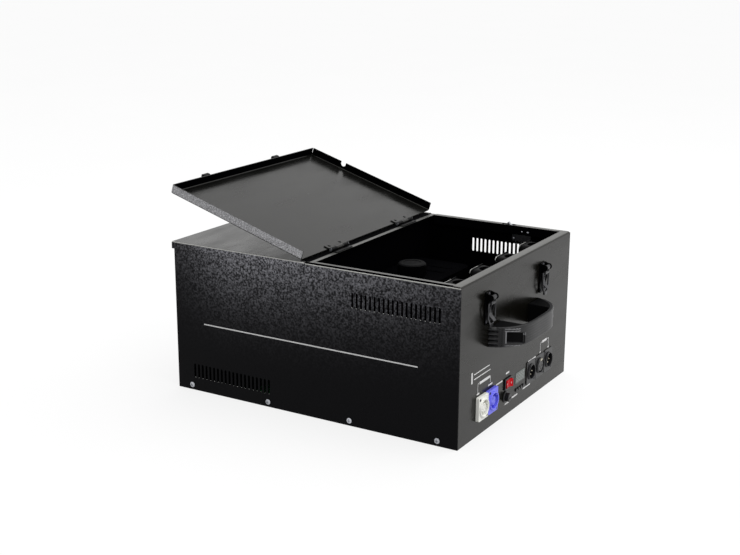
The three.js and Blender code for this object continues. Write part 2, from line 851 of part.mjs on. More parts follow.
// The mains switch: a bezel with a pocket, and a rocker that tips about an upright axis
function mainsSwitch() {
  const outY = switchBezelY / 2;
  const outZ = switchBezelZ / 2;
  const neckY = outY - overrun;
  const neckZ = outZ - overrun;
  const front = wallX + switchBezelOut;
  const bodyX = [wallX - switchBodyDepth, front];
  const pocketY = outY - switchWall;
  const pocketZ = outZ - switchWall;
  const pocketX = [wallX - switchBodyDepth + switchWall, front + overrun];
  const span = (centre, half) => [centre - half, centre + half];
  const bezel = join(
    block([wallX + gap, front], span(switchY, outY), span(switchZ, outZ)),
    block(bodyX, span(switchY, neckY), span(switchZ, neckZ)),
  );
  const pocket = block(pocketX, span(switchY, pocketY), span(switchZ, pocketZ));
  place('switch_bezel', cut(bezel, pocket), blackPlastic, machine);

  const rockerY = pocketY - rockerSideGap;
  const rockerZ = pocketZ - gap;
  const faceOut = rockerPivotIn + switchBezelOut;
  const outline = [
    [0, -rockerY], [faceOut + rockerCrown, -rockerY], [faceOut, 0],
    [faceOut + rockerCrown, rockerY], [0, rockerY], [-rockerHub, 0],
  ];
  const rockerGroup = new THREE.Group();
  rockerGroup.position.set(wallX - rockerPivotIn, switchY, switchZ);
  rockerGroup.rotation.z = -THREE.MathUtils.degToRad(rockerTiltDegrees);
  machine.add(rockerGroup);
  place('switch_rocker', prism('z', outline, [-rockerZ, rockerZ]), redPlastic, rockerGroup);
}

// The fuse holder: a rim with a bore, and a cap whose shank turns in the bore
function fuse() {
  const centre = [fuseY, fuseZ];
  const front = wallX + fuseRimOut;
  const holder = join(
    rod('x', fuseRimRadius, [wallX + gap, front], centre),
    rod('x', fuseBodyRadius, [wallX - fuseBodyDepth, front], centre),
  );
  const bore = rod('x', fuseShankRadius + gap, [front - fuseShankLength - 2 * gap, front + overrun], centre);
  place('fuse_holder', cut(holder, bore), blackPlastic, machine);

  const capBack = front + gap;
  const capFront = wallX + fuseCapOut;
  const cap = join(
    rod('x', fuseCapRadius, [capBack, capFront], centre),
    rod('x', fuseShankRadius, [capBack - fuseShankLength, capFront], centre),
  );
  const coinSlot = block(
    [capFront - fuseRimOut, capFront + overrun],
    [fuseY - fuseShankRadius, fuseY + fuseShankRadius],
    [fuseZ - fuseRimOut / 2, fuseZ + fuseRimOut / 2],
  );
  place('fuse_cap', cut(cap, coinSlot), blackPlastic, machine);
}

// The display board behind the panel, with its window in the cut-out, and the four buttons
function display() {
  const front = wallX - sheet - gap;
  const back = front - displayBodyDepth;
  const halfY = displayWidth / 2;
  const halfZ = displayHeight / 2;
  const bottom = buttonZ - buttonRadius - displayMargin;
  const board = join(
    block([back, front], [displayY - halfY - displayMargin, displayY + halfY + displayMargin],
      [bottom, displayZ + halfZ + displayMargin]),
    block([front - overrun, wallX + displayOut], [displayY - halfY, displayY + halfY],
      [displayZ - halfZ, displayZ + halfZ]),
  );
  const boreRun = [front - buttonStemLength - buttonTravel - gap, front + overrun];
  const bores = buttonPlaces.map((y) => rod('x', buttonStemRadius + gap, boreRun, [y, buttonZ], smallSides));
  place('display_module', cut(board, ...bores), smokedWindow, machine);

  const capBack = front + buttonTravel + gap;
  buttonPlaces.forEach((y, index) => {
    const button = join(
      rod('x', buttonRadius, [capBack, wallX + buttonOut], [y, buttonZ], smallSides),
      rod('x', buttonStemRadius, [front - buttonStemLength, wallX], [y, buttonZ], smallSides),
    );
    place(`menu_button_${index + 1}`, button, blackPlastic, machine);
  });
}

// A rectangle with round corners, centred on a point
function roundedPlan(centreX, halfX, halfY, corner) {
  const plan = new THREE.Shape();
  const right = centreX + halfX - corner;
  const left = centreX - halfX + corner;
  const rear = halfY - corner;
  plan.absarc(right, rear, corner, 0, Math.PI / 2, false);
  plan.absarc(left, rear, corner, Math.PI / 2, Math.PI, false);
  plan.absarc(left, -rear, corner, Math.PI, 1.5 * Math.PI, false);
  plan.absarc(right, -rear, corner, 1.5 * Math.PI, 2 * Math.PI, false);
  return plan;
}

function fuelTank() {
  const floor = bayFloorTop + gap;
  const neck = [neckX, 0];
  const spout = [spoutX, 0];
  const neckTop = tankTop + neckRise;
  const seam = tankTop - tankWall;
  const spoutEnd = floor - spoutDrop;
  const halfX = tankWidth / 2;
  const halfY = tankLength / 2;
  const plan = roundedPlan(tankX, halfX, halfY, tankCorner);
  const hollow = roundedPlan(tankX, halfX - tankWall, halfY - tankWall, tankCorner - tankWall);
  const tub = cut(
    join(
      prism('z', plan, [floor, seam - gap], tankCurve),
      rod('z', spoutRadius, [spoutEnd, floor + tankWall], spout),
    ),
    prism('z', hollow, [floor + tankWall, tankTop], tankCurve),
    rod('z', spoutBore, [spoutEnd - overrun, floor + tankWall + overrun], spout),
  );
  place('fuel_tank', tub, blackPlastic, machine);

  const top = cut(
    join(prism('z', plan, [seam, tankTop], tankCurve), rod('z', neckRadius, [seam, neckTop], neck)),
    rod('z', neckBore, [seam - overrun, neckTop + overrun], neck),
  );
  place('tank_top', top, blackPlastic, machine);

  const capBottom = tankTop + capLift;
  const cap = cut(
    rod('z', capRadius, [capBottom, capBottom + capHeight], neck),
    rod('z', neckRadius + gap, [capBottom - overrun, capBottom + capHeight - capRoof], neck),
  );
  place('tank_cap', cap, zinc, machine);
}

// The pump lies along X on the pan, under the tank's spout
function fuelPump() {
  const centre = [0, pumpZ];
  const start = pumpX - pumpLength / 2;
  const end = pumpX + pumpLength / 2;
  const inletTop = bayFloorTop + gap - spoutDrop - gap;
  const feet = [-1, 1].map((side) => {
    const x = pumpX + side * pumpFootSpread;
    return block(
      [x - pumpFootWidth / 2, x + pumpFootWidth / 2],
      [-pumpRadius, pumpRadius],
      [panSheet + gap, pumpZ],
    );
  });
  const pump = join(
    rod('x', pumpRadius, [start, end], centre),
    rod('x', nippleRadius, [end - overrun, end + nippleLength], centre, smallSides),
    rod('z', spoutRadius, [pumpZ, inletTop], [spoutX, 0]),
    ...feet,
  );
  const inlet = rod('z', spoutBore, [inletTop - nippleLength, inletTop + overrun], [spoutX, 0]);
  place('fuel_pump', cut(pump, inlet), aluminium, machine);
}

// A ring of points round a pipe's centre line, square to a direction in the X-Z plane
function pipeRing(x, z, angle) {
  return Array.from({ length: pipeSides }, (_, index) => {
    const turn = 2 * Math.PI * (index / pipeSides);
    const across = pipeRadius * Math.cos(turn);
    const side = pipeRadius * Math.sin(turn);
    return new THREE.Vector3(x + across * Math.sin(angle), side, z - across * Math.cos(angle));
  });
}

// The delivery pipe leaves the pump, rises through the bay floor and enters the valve block
function deliveryPipe() {
  const start = pumpX + pumpLength / 2 + nippleLength + gap;
  const end = headBoreX - blockWidth / 2 - nippleLength - gap;
  const topZ = (blockBottom + blockTop) / 2;
  const bend = pipeBendRadius;
  const rings = [pipeRing(start, pumpZ, 0)];
  for (let step = 0; step <= pipeBendSteps; step += 1) {
    const angle = (Math.PI / 2) * (step / pipeBendSteps);
    const x = pipeRiseX - bend + bend * Math.sin(angle);
    rings.push(pipeRing(x, pumpZ + bend - bend * Math.cos(angle), angle));
  }
  for (let step = 0; step <= pipeBendSteps; step += 1) {
    const angle = (Math.PI / 2) * (1 - step / pipeBendSteps);
    const x = pipeRiseX + bend - bend * Math.sin(angle);
    rings.push(pipeRing(x, topZ - bend + bend * Math.cos(angle), angle));
  }
  rings.push(pipeRing(end, topZ, 0));
  place('delivery_pipe', loft(rings), brass, machine);
}

const headPlaces = Array.from({ length: headCount }, (_, index) => (
  (index - (headCount - 1) / 2) * headPitch
));

// One block feeds the four burners; each has a valve coil on the block's inner side
function valveBlock() {
  const x = [headBoreX - blockWidth / 2, headBoreX + blockWidth / 2];
  const reach = headPlaces[headCount - 1] + blockOver;
  const middleZ = (blockBottom + blockTop) / 2;
  const coilX = [x[0] - coilLength, x[0] + overrun];
  const footHalf = blockFootLength / 2;
  const feet = [headPlaces[0], headPlaces[headCount - 1]].map((y) => block(
    x,
    [y - footHalf, y + footHalf],
    [bayFloorTop + gap, blockBottom + overrun],
  ));
  const body = join(
    block(x, [-reach, reach], [blockBottom, blockTop]),
    ...headPlaces.map((y) => rod('x', coilRadius, coilX, [y, middleZ])),
    rod('x', nippleRadius, [x[0] - nippleLength, x[0] + overrun], [0, middleZ], smallSides),
    ...feet,
  );
  place('valve_block', body, aluminium, machine);
}

// A burner head: a housing on the end panel with round shoulders, and a nozzle in its bore
function burner(number, centreY) {
  const headLeft = wallX - headDepth;
  const nozzleTop = headTop - nozzleBelowHead;
  const front = centreY - headLength / 2;
  const rear = centreY + headLength / 2;
  const shoulderZ = headTop - headShoulder;
  const profile = new THREE.Shape();
  profile.moveTo(front, headBottom);
  profile.lineTo(rear, headBottom);
  profile.lineTo(rear, shoulderZ);
  profile.absarc(rear - headShoulder, shoulderZ, headShoulder, 0, Math.PI / 2, false);
  profile.absarc(front + headShoulder, shoulderZ, headShoulder, Math.PI / 2, Math.PI, false);
  profile.lineTo(front, headBottom);
  const centre = [headBoreX, centreY];
  const housing = cut(
    prism('x', profile, [headLeft, insideX], shoulderCurve),
    rod('z', headBore, [headBottom + headFloor, headTop + overrun], centre),
    rod('z', nozzleRadius + gap, [headBottom - overrun, headBottom + headFloor + overrun], centre),
  );
  place(`burner_head_${number}`, housing, blackSteel, machine);

  const nozzle = join(
    rod('z', nozzleRadius, [blockTop + gap, nozzleTop], centre, smallSides),
    rod('z', nozzleTipRadius, [nozzleTop - nozzleTipLength, nozzleTop], centre, nozzleTipSides),
  );
  const bore = rod('z', nozzleBore, [nozzleTop - nozzleBoreDepth, nozzleTop + overrun], centre, smallSides);
  place(`burner_nozzle_${number}`, cut(nozzle, bore), brass, machine);
}

// A switch under the rear rim whose sprung arm feels whether the lid is shut
function lidSwitch() {
  const left = wallX - lidSwitchMargin - lidSwitchLength / 2;
  const right = left + lidSwitchLength;
  const lidSwitchTop = height - lidSwitchBelowTop;
  const y = [insideY - rimRearWidth + sheet + gap, insideY - gap];
  const pivot = [left + lidSwitchEye, lidSwitchTop + lidSwitchRise];
  const earY = [[y[0], y[0] + lidSwitchEar], [y[1] - lidSwitchEar, y[1]]];
  const ears = earY.flatMap((run) => [
    rod('y', lidSwitchEye, run, pivot, smallSides),
    block([left, left + 2 * lidSwitchEye], run, [lidSwitchTop - overrun, pivot[1]]),
  ]);
  const body = join(
    block([left, right], y, [lidSwitchTop - lidSwitchDepth, lidSwitchTop]),
    ...ears,
    rod('y', lidSwitchPin, y, pivot, smallSides),
  );
  place('lid_switch_body', body, blackPlastic, machine);

  const armY = [earY[0][1] + gap, earY[1][0] - gap];
  const half = lidSwitchSheet / 2;
  const armGroup = new THREE.Group();
  armGroup.position.set(pivot[0], 0, pivot[1]);
  armGroup.rotation.y = THREE.MathUtils.degToRad(lidSwitchDegrees);
  machine.add(armGroup);
  const [tailX, tailDrop] = lidSwitchTail;
  const tail = [
    [-lidSwitchArm, half],
    [-tailX - half, -tailDrop],
    [-tailX + half, -tailDrop],
    [lidSwitchSheet - lidSwitchArm, -half],
  ];
  const arm = join(
    rod('y', lidSwitchEye, armY, [0, 0]),
    block([-lidSwitchArm, 0], armY, [-half, half]),
    rod('y', lidSwitchRoller, armY, [-lidSwitchArm, 0]),
    prism('y', tail, armY),
  );
  const eye = rod('y', lidSwitchPin + gap, [armY[0] - overrun, armY[1] + overrun], [0, 0]);
  place('lid_switch_arm', cut(arm, eye), zinc, armGroup);
}

// The supply, the board and the ignition module stand on the pan, clear of its walls
function electronics() {
  const foot = panSheet + gap;
  const panLeft = panSheet - insideX;
  const supplyX = [panLeft + supplyGap / 2, panLeft + supplyGap / 2 + supplyLength];
  const supplyY = [supplyGap - wallY, supplyGap - wallY + supplyDepth];
  place('power_supply', block(supplyX, supplyY, [foot, foot + supplyHeight]), aluminium, machine);

  const boardX = [partitionX - boardGap - boardLength, partitionX - boardGap];
  const boardY = [boardFrontGap - wallY, boardFrontGap - wallY + boardDepth];
  const underBoard = foot + boardRise;
  const posts = [boardX[0] + boardPostInset, boardX[1] - boardPostInset].flatMap((x) => (
    [boardY[0] + boardPostInset, boardY[1] - boardPostInset].map((y) => (
      rod('z', boardPostRadius, [foot, underBoard + boardSheet], [x, y], smallSides)
    ))
  ));
  const board = block(boardX, boardY, [underBoard, underBoard + boardSheet]);
  place('control_board', join(board, ...posts), greenBoard, machine);

  const igniterX = [igniterSideGap - wallX, igniterSideGap - wallX + igniterLength];
  const igniterY = [wallY - igniterRearGap - igniterDepth, wallY - igniterRearGap];
  const igniterTop = foot + igniterHeight;
  const towerPitch = igniterLength / headCount;
  const towers = headPlaces.map((_, index) => rod(
    'z',
    igniterTowerRadius,
    [igniterTop - overrun, igniterTop + igniterTowerHeight],
    [igniterX[0] + (index + 1 / 2) * towerPitch, (igniterY[0] + igniterY[1]) / 2],
  ));
  const igniter = join(block(igniterX, igniterY, [foot, igniterTop]), ...towers);
  place('ignition_module', igniter, greyResin, machine);
}

basePan();
longPanel('front_panel', -1);
longPanel('rear_panel', 1);
leftSidePanel();
rightSidePanel();
leftTopCover();
bayPartition();
bayFloor();
bayRims();
lid();
hinge('front', -hingeSpread);
hinge('rear', hingeSpread);
latch('front', latchPlaces[0]);
latch('rear', latchPlaces[1]);
handle('carry_handle_right', 0);
handle('carry_handle_left', Math.PI);
powerSocket('power_outlet', powerOutletY, whitePlastic);
powerSocket('power_inlet', powerInletY, bluePlastic);
mainsSwitch();
fuse();
display();
dataSocket('remote_socket', dataPlaces[0], true);
dataSocket('dmx_out_socket', dataPlaces[1], false);
dataSocket('dmx_in_socket', dataPlaces[2], true);
fuelTank();
fuelPump();
deliveryPipe();
valveBlock();
headPlaces.forEach((y, index) => burner(index + 1, y));
lidSwitch();
electronics();

export default machine;
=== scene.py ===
import json
import math
import bmesh
import bpy
from mathutils import Matrix, Vector


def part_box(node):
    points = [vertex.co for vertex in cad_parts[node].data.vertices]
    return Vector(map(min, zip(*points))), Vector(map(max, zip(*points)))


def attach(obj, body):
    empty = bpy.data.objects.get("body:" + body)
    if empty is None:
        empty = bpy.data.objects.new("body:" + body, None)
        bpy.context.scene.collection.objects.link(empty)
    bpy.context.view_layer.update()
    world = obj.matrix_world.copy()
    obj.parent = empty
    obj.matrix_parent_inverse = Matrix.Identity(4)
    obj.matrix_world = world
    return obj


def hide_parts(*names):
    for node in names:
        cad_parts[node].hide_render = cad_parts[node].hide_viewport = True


# A stage flame machine. Drawings are in millimetres in the row's frame: the origin is under the middle
# of the case, +X is the connector side, +Y the rear and +Z up. piece() scales them to metres.

MM = 0.001

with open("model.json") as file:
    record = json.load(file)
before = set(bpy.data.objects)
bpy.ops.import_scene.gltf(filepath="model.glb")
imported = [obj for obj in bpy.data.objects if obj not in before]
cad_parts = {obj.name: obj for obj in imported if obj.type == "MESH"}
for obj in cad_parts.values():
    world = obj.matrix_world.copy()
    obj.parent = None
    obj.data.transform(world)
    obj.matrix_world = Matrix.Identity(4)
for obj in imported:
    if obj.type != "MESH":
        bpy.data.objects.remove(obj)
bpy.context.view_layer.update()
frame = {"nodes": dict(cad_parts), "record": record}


def node_box(node):
    """A node's lowest and highest corner in millimetres."""
    low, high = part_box(node)
    return low / MM, high / MM


# Sizes that many pieces share, read from the frame
panel_low, panel_high = node_box("front_panel")
WALL_X = panel_high.x
WALL_Y = -panel_low.y
HEIGHT = panel_high.z
SHEET = panel_high.y - panel_low.y
FOLD = 1.8
FINE = 0.25
GAP = 0.3
SHARP = 0.01
SMOOTH_ANGLE = math.radians(38)
UP, DOWN = Vector((0, 0, 1)), Vector((0, 0, -1))
LEFT, RIGHT = Vector((-1, 0, 0)), Vector((1, 0, 0))
FRONT, REAR = Vector((0, -1, 0)), Vector((0, 1, 0))

# Camera, from the straight edges of the case in the photograph
CAMERA_PLACE = Vector((831.6, -1407.7, 599.3))
CAMERA_FORWARD = Vector((-0.4937, 0.8271, -0.2688))
CAMERA_ROLL = math.radians(0.235)
LENS = 61.92
SENSOR = 36


# Drawing tools. Outlines are drawn flat and pushed along +Z, and these matrices turn them.

FACING = {
    "+x": Matrix(((0, 0, 1), (1, 0, 0), (0, 1, 0))).to_4x4(),
    "-y": Matrix(((1, 0, 0), (0, 0, -1), (0, 1, 0))).to_4x4(),
    "+y": Matrix(((-1, 0, 0), (0, 0, 1), (0, 1, 0))).to_4x4(),
    "+z": Matrix.Identity(4),
}
TO_AXIS = {"x": FACING["+x"], "y": Matrix(((1, 0, 0), (0, 0, 1), (0, 1, 0))).to_4x4(), "z": FACING["+z"]}


def arc(u, v, radius, start, end, steps):
    """Points on an arc, its angles in degrees."""
    angles = [math.radians(start + (end - start) * i / steps) for i in range(steps + 1)]
    return [(u + radius * math.cos(a), v + radius * math.sin(a)) for a in angles]


def ring_points(u, v, radius, steps=32):
    """Points on a full circle."""
    return arc(u, v, radius, 0, 360, steps)[:-1]


def rectangle(u, v, corner=0, steps=4):
    """A rectangle from two spans, with round corners if asked."""
    if not corner:
        return [(u[0], v[0]), (u[1], v[0]), (u[1], v[1]), (u[0], v[1])]
    right, left = u[1] - corner, u[0] + corner
    top, bottom = v[1] - corner, v[0] + corner
    return [
        *arc(right, top, corner, 0, 90, steps),
        *arc(left, top, corner, 90, 180, steps),
        *arc(left, bottom, corner, 180, 270, steps),
        *arc(right, bottom, corner, 270, 360, steps),
    ]


def around(centre, half):
    """The span that reaches half to each side of a centre."""
    return (centre - half, centre + half)


def eased(points, radius, closed=False, steps=5):
    """A path of vectors with its corners rounded."""
    points = [Vector(p) for p in points]
    count = len(points)
    result = []
    for i, corner in enumerate(points):
        if not closed and i in (0, count - 1):
            result.append(corner)
            continue
        back = (points[i - 1] - corner).normalized()
        ahead = (points[(i + 1) % count] - corner).normalized()
        half = back.angle(ahead) / 2
        reach = radius / math.tan(half)
        centre = corner + (back + ahead).normalized() * radius / math.sin(half)
        first = corner + back * reach - centre
        last = corner + ahead * reach - centre
        for step in range(steps + 1):
            share = step / steps
            turned_by = (math.pi - 2 * half) * share
            whole = math.pi - 2 * half
            mixed = (first * math.sin(whole - turned_by) + last * math.sin(turned_by)) / math.sin(whole)
            result.append(centre + mixed)
    return result


def linked(name, data):
    """A new object in the scene."""
    made = bpy.data.objects.new(name, data)
    bpy.context.scene.collection.objects.link(made)
    return made


def as_mesh(name, bm):
    """A mesh from a bmesh, which is used up."""
    mesh = bpy.data.meshes.new(name)
    bm.to_mesh(mesh)
    bm.free()
    return mesh


def merged(*parts):
    """One bmesh that holds several; the parts are used up."""
    whole = parts[0]
    for part in parts[1:]:
        mesh = as_mesh("part", part)
        whole.from_mesh(mesh)
        bpy.data.meshes.remove(mesh)
    return whole


def moved(bm, matrix):
    """The bmesh, turned and shifted by a matrix."""
    bmesh.ops.transform(bm, matrix=matrix, verts=bm.verts)
    return bm


def block(x, y, z):
    """A plain block from three spans."""
    bm = bmesh.new()
    bmesh.ops.create_cube(bm, size=1)
    for vert in bm.verts:
        spans = zip(vert.co, (x, y, z))
        vert.co = Vector([(low + high) / 2 + share * (high - low) for share, (low, high) in spans])
    return bm


def bevelled(bm, edges, width, steps):
    """The bmesh with some edges rounded."""
    bmesh.ops.bevel(bm, geom=edges, offset=width, segments=steps, profile=0.5, affect="EDGES")
    return bm


def slab(x, y, z, edge=FINE, steps=2):
    """A block with rounded edges."""
    bm = block(x, y, z)
    return bevelled(bm, bm.edges[:], edge, steps) if edge else bm


def plate(axis, outline, span, holes=(), edge=FINE, steps=1):
    """An outline with holes, pushed along an axis, with rounded edges."""
    curve = bpy.data.curves.new("plate", "CURVE")
    curve.dimensions = "2D"
    curve.fill_mode = "BOTH"
    for loop in (outline, *holes):
        spline = curve.splines.new("POLY")
        spline.points.add(len(loop) - 1)
        for point, place in zip(spline.points, loop):
            point.co = (place[0], place[1], 0, 1)
        spline.use_cyclic_u = True
    curve.extrude = (span[1] - span[0]) / 2 - edge
    curve.bevel_depth = edge
    curve.bevel_resolution = steps
    curve.offset = -edge
    holder = bpy.data.objects.new("plate", curve)
    mesh = bpy.data.meshes.new_from_object(holder)
    bm = bmesh.new()
    bm.from_mesh(mesh)
    bpy.data.objects.remove(holder)
    bpy.data.curves.remove(curve)
    bpy.data.meshes.remove(mesh)
    bmesh.ops.remove_doubles(bm, verts=bm.verts, dist=1e-4)
    middle = Matrix.Translation((0, 0, (span[0] + span[1]) / 2))
    return moved(bm, TO_AXIS[axis] @ middle)


def turned(axis, centre, profile, sides=48, hollow=False):
    """A lathe piece from (radius, place along the axis) points; a hollow one closes on itself."""
    bm = bmesh.new()
    u, v = centre
    rings = []
    for radius, along in profile:
        count = 1 if radius == 0 else sides
        angles = [2 * math.pi * i / sides for i in range(count)]
        places = [(u + radius * math.cos(a), v + radius * math.sin(a), along) for a in angles]
        rings.append([bm.verts.new(place) for place in places])
    pairs = list(zip(rings, rings[1:]))
    if hollow:
        pairs.append((rings[-1], rings[0]))
    for first, second in pairs:
        for i in range(sides):
            j = (i + 1) % sides
            if len(first) == 1:
                bm.faces.new((first[0], second[i], second[j]))
            elif len(second) == 1:
                bm.faces.new((first[i], first[j], second[0]))
            else:
                bm.faces.new((first[i], first[j], second[j], second[i]))
    if not hollow:
        for ring in (rings[0], rings[-1]):
            if len(ring) > 1:
                bm.faces.new(ring)
    return moved(bm, TO_AXIS[axis])


def collar(axis, centre, inner, outer, span, edge=FINE, sides=48):
    """A ring with a square section and eased edges."""
    low, high = span
    profile = [
        (inner, low + edge), (inner + edge, low), (outer - edge, low), (outer, low + edge),
        (outer, high - edge), (outer - edge, high), (inner + edge, high), (inner, high - edge),
    ]
    return turned(axis, centre, profile, sides, hollow=True)


def disc(axis, centre, radius, span, edge=FINE, sides=48):
    """A round bar with eased ends."""
    low, high = span
    side = [(radius - edge, low), (radius, low + edge), (radius, high - edge), (radius - edge, high)]
    return turned(axis, centre, [(0, low), *side, (0, high)], sides)


def loft(rings, closed=False):
    """A skin over rows of points, its ends filled unless it closes on itself."""
    bm = bmesh.new()
    rows = [[bm.verts.new(p) for p in ring] for ring in rings]
    count = len(rows[0])
    pairs = list(zip(rows, rows[1:]))
    if closed:
        pairs.append((rows[-1], rows[0]))
    for first, second in pairs:
        for i in range(count):
            j = (i + 1) % count
            bm.faces.new((first[i], first[j], second[j], second[i]))
    if not closed:
        bm.faces.new(rows[0])
        bm.faces.new(list(reversed(rows[-1])))
    return bm


def tube(points, radius, sides=12, closed=False):
    """A round bar along a path."""
    points = [Vector(p) for p in points]
    count = len(points)
    rings = []
    normal = None
    for i, here in enumerate(points):
        before = points[i - 1] if closed or i else here
        after = points[(i + 1) % count] if closed or i < count - 1 else here
        along = (after - before).normalized()
        if normal is None:
            normal = along.orthogonal().normalized()
        normal = (normal - along * normal.dot(along)).normalized()
        side = along.cross(normal)
        angles = [2 * math.pi * k / sides for k in range(sides)]
        rings.append([here + (normal * math.cos(a) + side * math.sin(a)) * radius for a in angles])
    return loft(rings, closed)


def with_modifier(bm, kind, **settings):
    """The bmesh after a modifier."""
    mesh = as_mesh("step", bm)
    holder = linked("step", mesh)
    modifier = holder.modifiers.new(kind, kind)
    for name, value in settings.items():
        setattr(modifier, name, value)
    graph = bpy.context.evaluated_depsgraph_get()
    result = bmesh.new()
    result.from_object(holder, graph)
    bpy.data.objects.remove(holder)
    bpy.data.meshes.remove(mesh)
    return result


def carved(bm, *tools):
    """The bmesh less some closed tools."""
    cutter = merged(*tools)
    for solid in (cutter, bm):
        bmesh.ops.recalc_face_normals(solid, faces=solid.faces)
    mesh = as_mesh("cutter", cutter)
    holder = linked("cutter", mesh)
    result = with_modifier(bm, "BOOLEAN", object=holder, operation="DIFFERENCE", solver="EXACT")
    bpy.data.objects.remove(holder)
    bpy.data.meshes.remove(mesh)
    return result


def tray(x, y, z, open_side, fold=FOLD):
    """A sheet-metal tray that opens downwards and to one side, with rounded folds."""
    bm = block(x, y, z)
    bm.normal_update()
    gone = [face for face in bm.faces if max(face.normal.dot(way) for way in (DOWN, open_side)) > 0.9]
    bmesh.ops.delete(bm, geom=gone, context="FACES")
    bevelled(bm, [edge for edge in bm.edges if len(edge.link_faces) == 2], fold, 4)
    return with_modifier(bm, "SOLIDIFY", thickness=SHEET, offset=-1, use_even_offset=True)


def folded(axis, path, sheet, span, fold=FOLD):
    """Sheet metal folded along an axis: the path is the outer side, the sheet lies to its left."""
    outer = eased([(*p, 0) for p in path], fold) if len(path) > 2 else [Vector((*p, 0)) for p in path]
    inner = []
    for i, here in enumerate(outer):
        before = outer[max(i - 1, 0)]
        after = outer[min(i + 1, len(outer) - 1)]
        along = (after - before).normalized()
        inner.append(here + Vector((-along.y, along.x, 0)) * sheet)
    outline = [(p.x, p.y) for p in outer] + [(p.x, p.y) for p in reversed(inner)]
    return plate(axis, outline, span, edge=0.1)


# Fasteners, drawn along +Z with the underside of the head at the origin


def pan_screw(radius, rise):
    """A domed screw head with a cross recess."""
    crown = [(radius, 0), (radius, rise * 0.35)]
    crown += [(radius * math.cos(a), rise * (0.35 + 0.65 * math.sin(a))) for a in (0.35, 0.7, 1.05, 1.3)]
    head = turned("z", (0, 0), [(0, -0.2), (radius, -0.2), *crown, (0, rise)], 24)
    arm, half, depth = radius * 0.62, radius * 0.13, radius * 0.45
    cut = (rise - depth, rise + depth)
    across = slab((-arm, arm), (-half, half), cut, 0)
    along = slab((-half, half), (-arm, arm), cut, 0)
    return carved(carved(head, across), along)


def copies(bm, facing, places):
    """One bmesh with a drawing set at several places, facing one way."""
    parts = []
    for i, place in enumerate(places):
        copy = bm.copy()
        spin = Matrix.Rotation(0.7 + 1.3 * i, 4, "Z")
        parts.append(moved(copy, Matrix.Translation(place) @ FACING[facing] @ spin))
    bm.free()
    return merged(*parts)


# Materials


class Graph:
    """The nodes of a material or a world, made by short calls."""

    def __init__(self, owner, output="ShaderNodeOutputMaterial"):
        owner.use_nodes = True
        self.tree = owner.node_tree
        self.tree.nodes.clear()
        self.output = self.node(output)
        self.coordinates = self.node("ShaderNodeTexCoord").outputs

    def node(self, kind, inputs=None, **settings):
        made = self.tree.nodes.new(kind)
        for name, value in settings.items():
            setattr(made, name, value)
        for name, value in (inputs or {}).items():
            self.join(value, made.inputs[name])
        return made

    def join(self, value, socket):
        """Links a socket's value in, or sets a plain one on the socket itself."""
        if isinstance(value, bpy.types.NodeSocket):
            self.tree.links.new(value, socket)
        else:
            socket.default_value = value

    def noise(self, scale, detail=2, rough=0.5, stretch=(1, 1, 1)):
        place = {"Vector": self.coordinates["Object"], "Scale": stretch}
        mapped = self.node("ShaderNodeMapping", place).outputs[0]
        inputs = {"Vector": mapped, "Scale": scale, "Detail": detail, "Roughness": rough}
        return self.node("ShaderNodeTexNoise", inputs).outputs["Fac"]

    def math(self, operation, *values):
        return self.node("ShaderNodeMath", dict(enumerate(values)), operation=operation).outputs[0]

    def ramp(self, value, low, high, first=0.0, last=1.0, **settings):
        """A value that runs from first to last as another runs from low to high."""
        inputs = {"Value": value, "From Min": low, "From Max": high, "To Min": first, "To Max": last}
        return self.node("ShaderNodeMapRange", inputs, **settings).outputs["Result"]

    def mix(self, share, first, second):
        made = self.node("ShaderNodeMix", data_type="RGBA")
        for name, value in {"Factor": share, "A": first, "B": second}.items():
            self.join(value, made.inputs[name])
        return made.outputs["Result"]

    def bump(self, value, strength, distance):
        inputs = {"Height": value, "Strength": strength, "Distance": distance}
        return self.node("ShaderNodeBump", inputs).outputs["Normal"]

    def show(self, shader):
        """Makes a shader the surface that is seen."""
        self.tree.links.new(shader.outputs[0], self.output.inputs["Surface"])

    def surface(self, **inputs):
        names = {key.replace("_", " "): value for key, value in inputs.items()}
        self.show(self.node("ShaderNodeBsdfPrincipled", names))


# How the painted glints on the crests of a long panel fade: from and to which place in metres, and between
# which shares
GLINT_FADE_POWER = 3.6
GLINT_FADE_RISE = (0.02, 0.2)
GLINT_FADE_LEFT = (-0.215, -0.12, 0.1, 1)
GLINT_FADE_RIGHT = (-0.06, 0.2, 1, 0.3)
WARM = (1.0, 0.985, 0.93, 1)


def colour(code):
    """A linear colour from an sRGB hex code."""
    parts = [int(code[i:i + 2], 16) / 255 for i in (1, 3, 5)]
    return (*[p / 12.92 if p <= 0.04045 else ((p + 0.055) / 1.055) ** 2.4 for p in parts], 1)


def painted_glint_fade(g):
    """Painted light: how far the crests show as pale glints on a long panel, most along the top, where the
    light from above catches them, and less towards both ends.
    """
    place = g.node("ShaderNodeSeparateXYZ", {0: g.coordinates["Object"]}).outputs
    rise = g.math("POWER", g.ramp(place["Z"], *GLINT_FADE_RISE), GLINT_FADE_POWER)
    across = g.math("MINIMUM", g.ramp(place["X"], *GLINT_FADE_LEFT), g.ramp(place["X"], *GLINT_FADE_RIGHT))
    return g.math("MULTIPLY", rise, across)


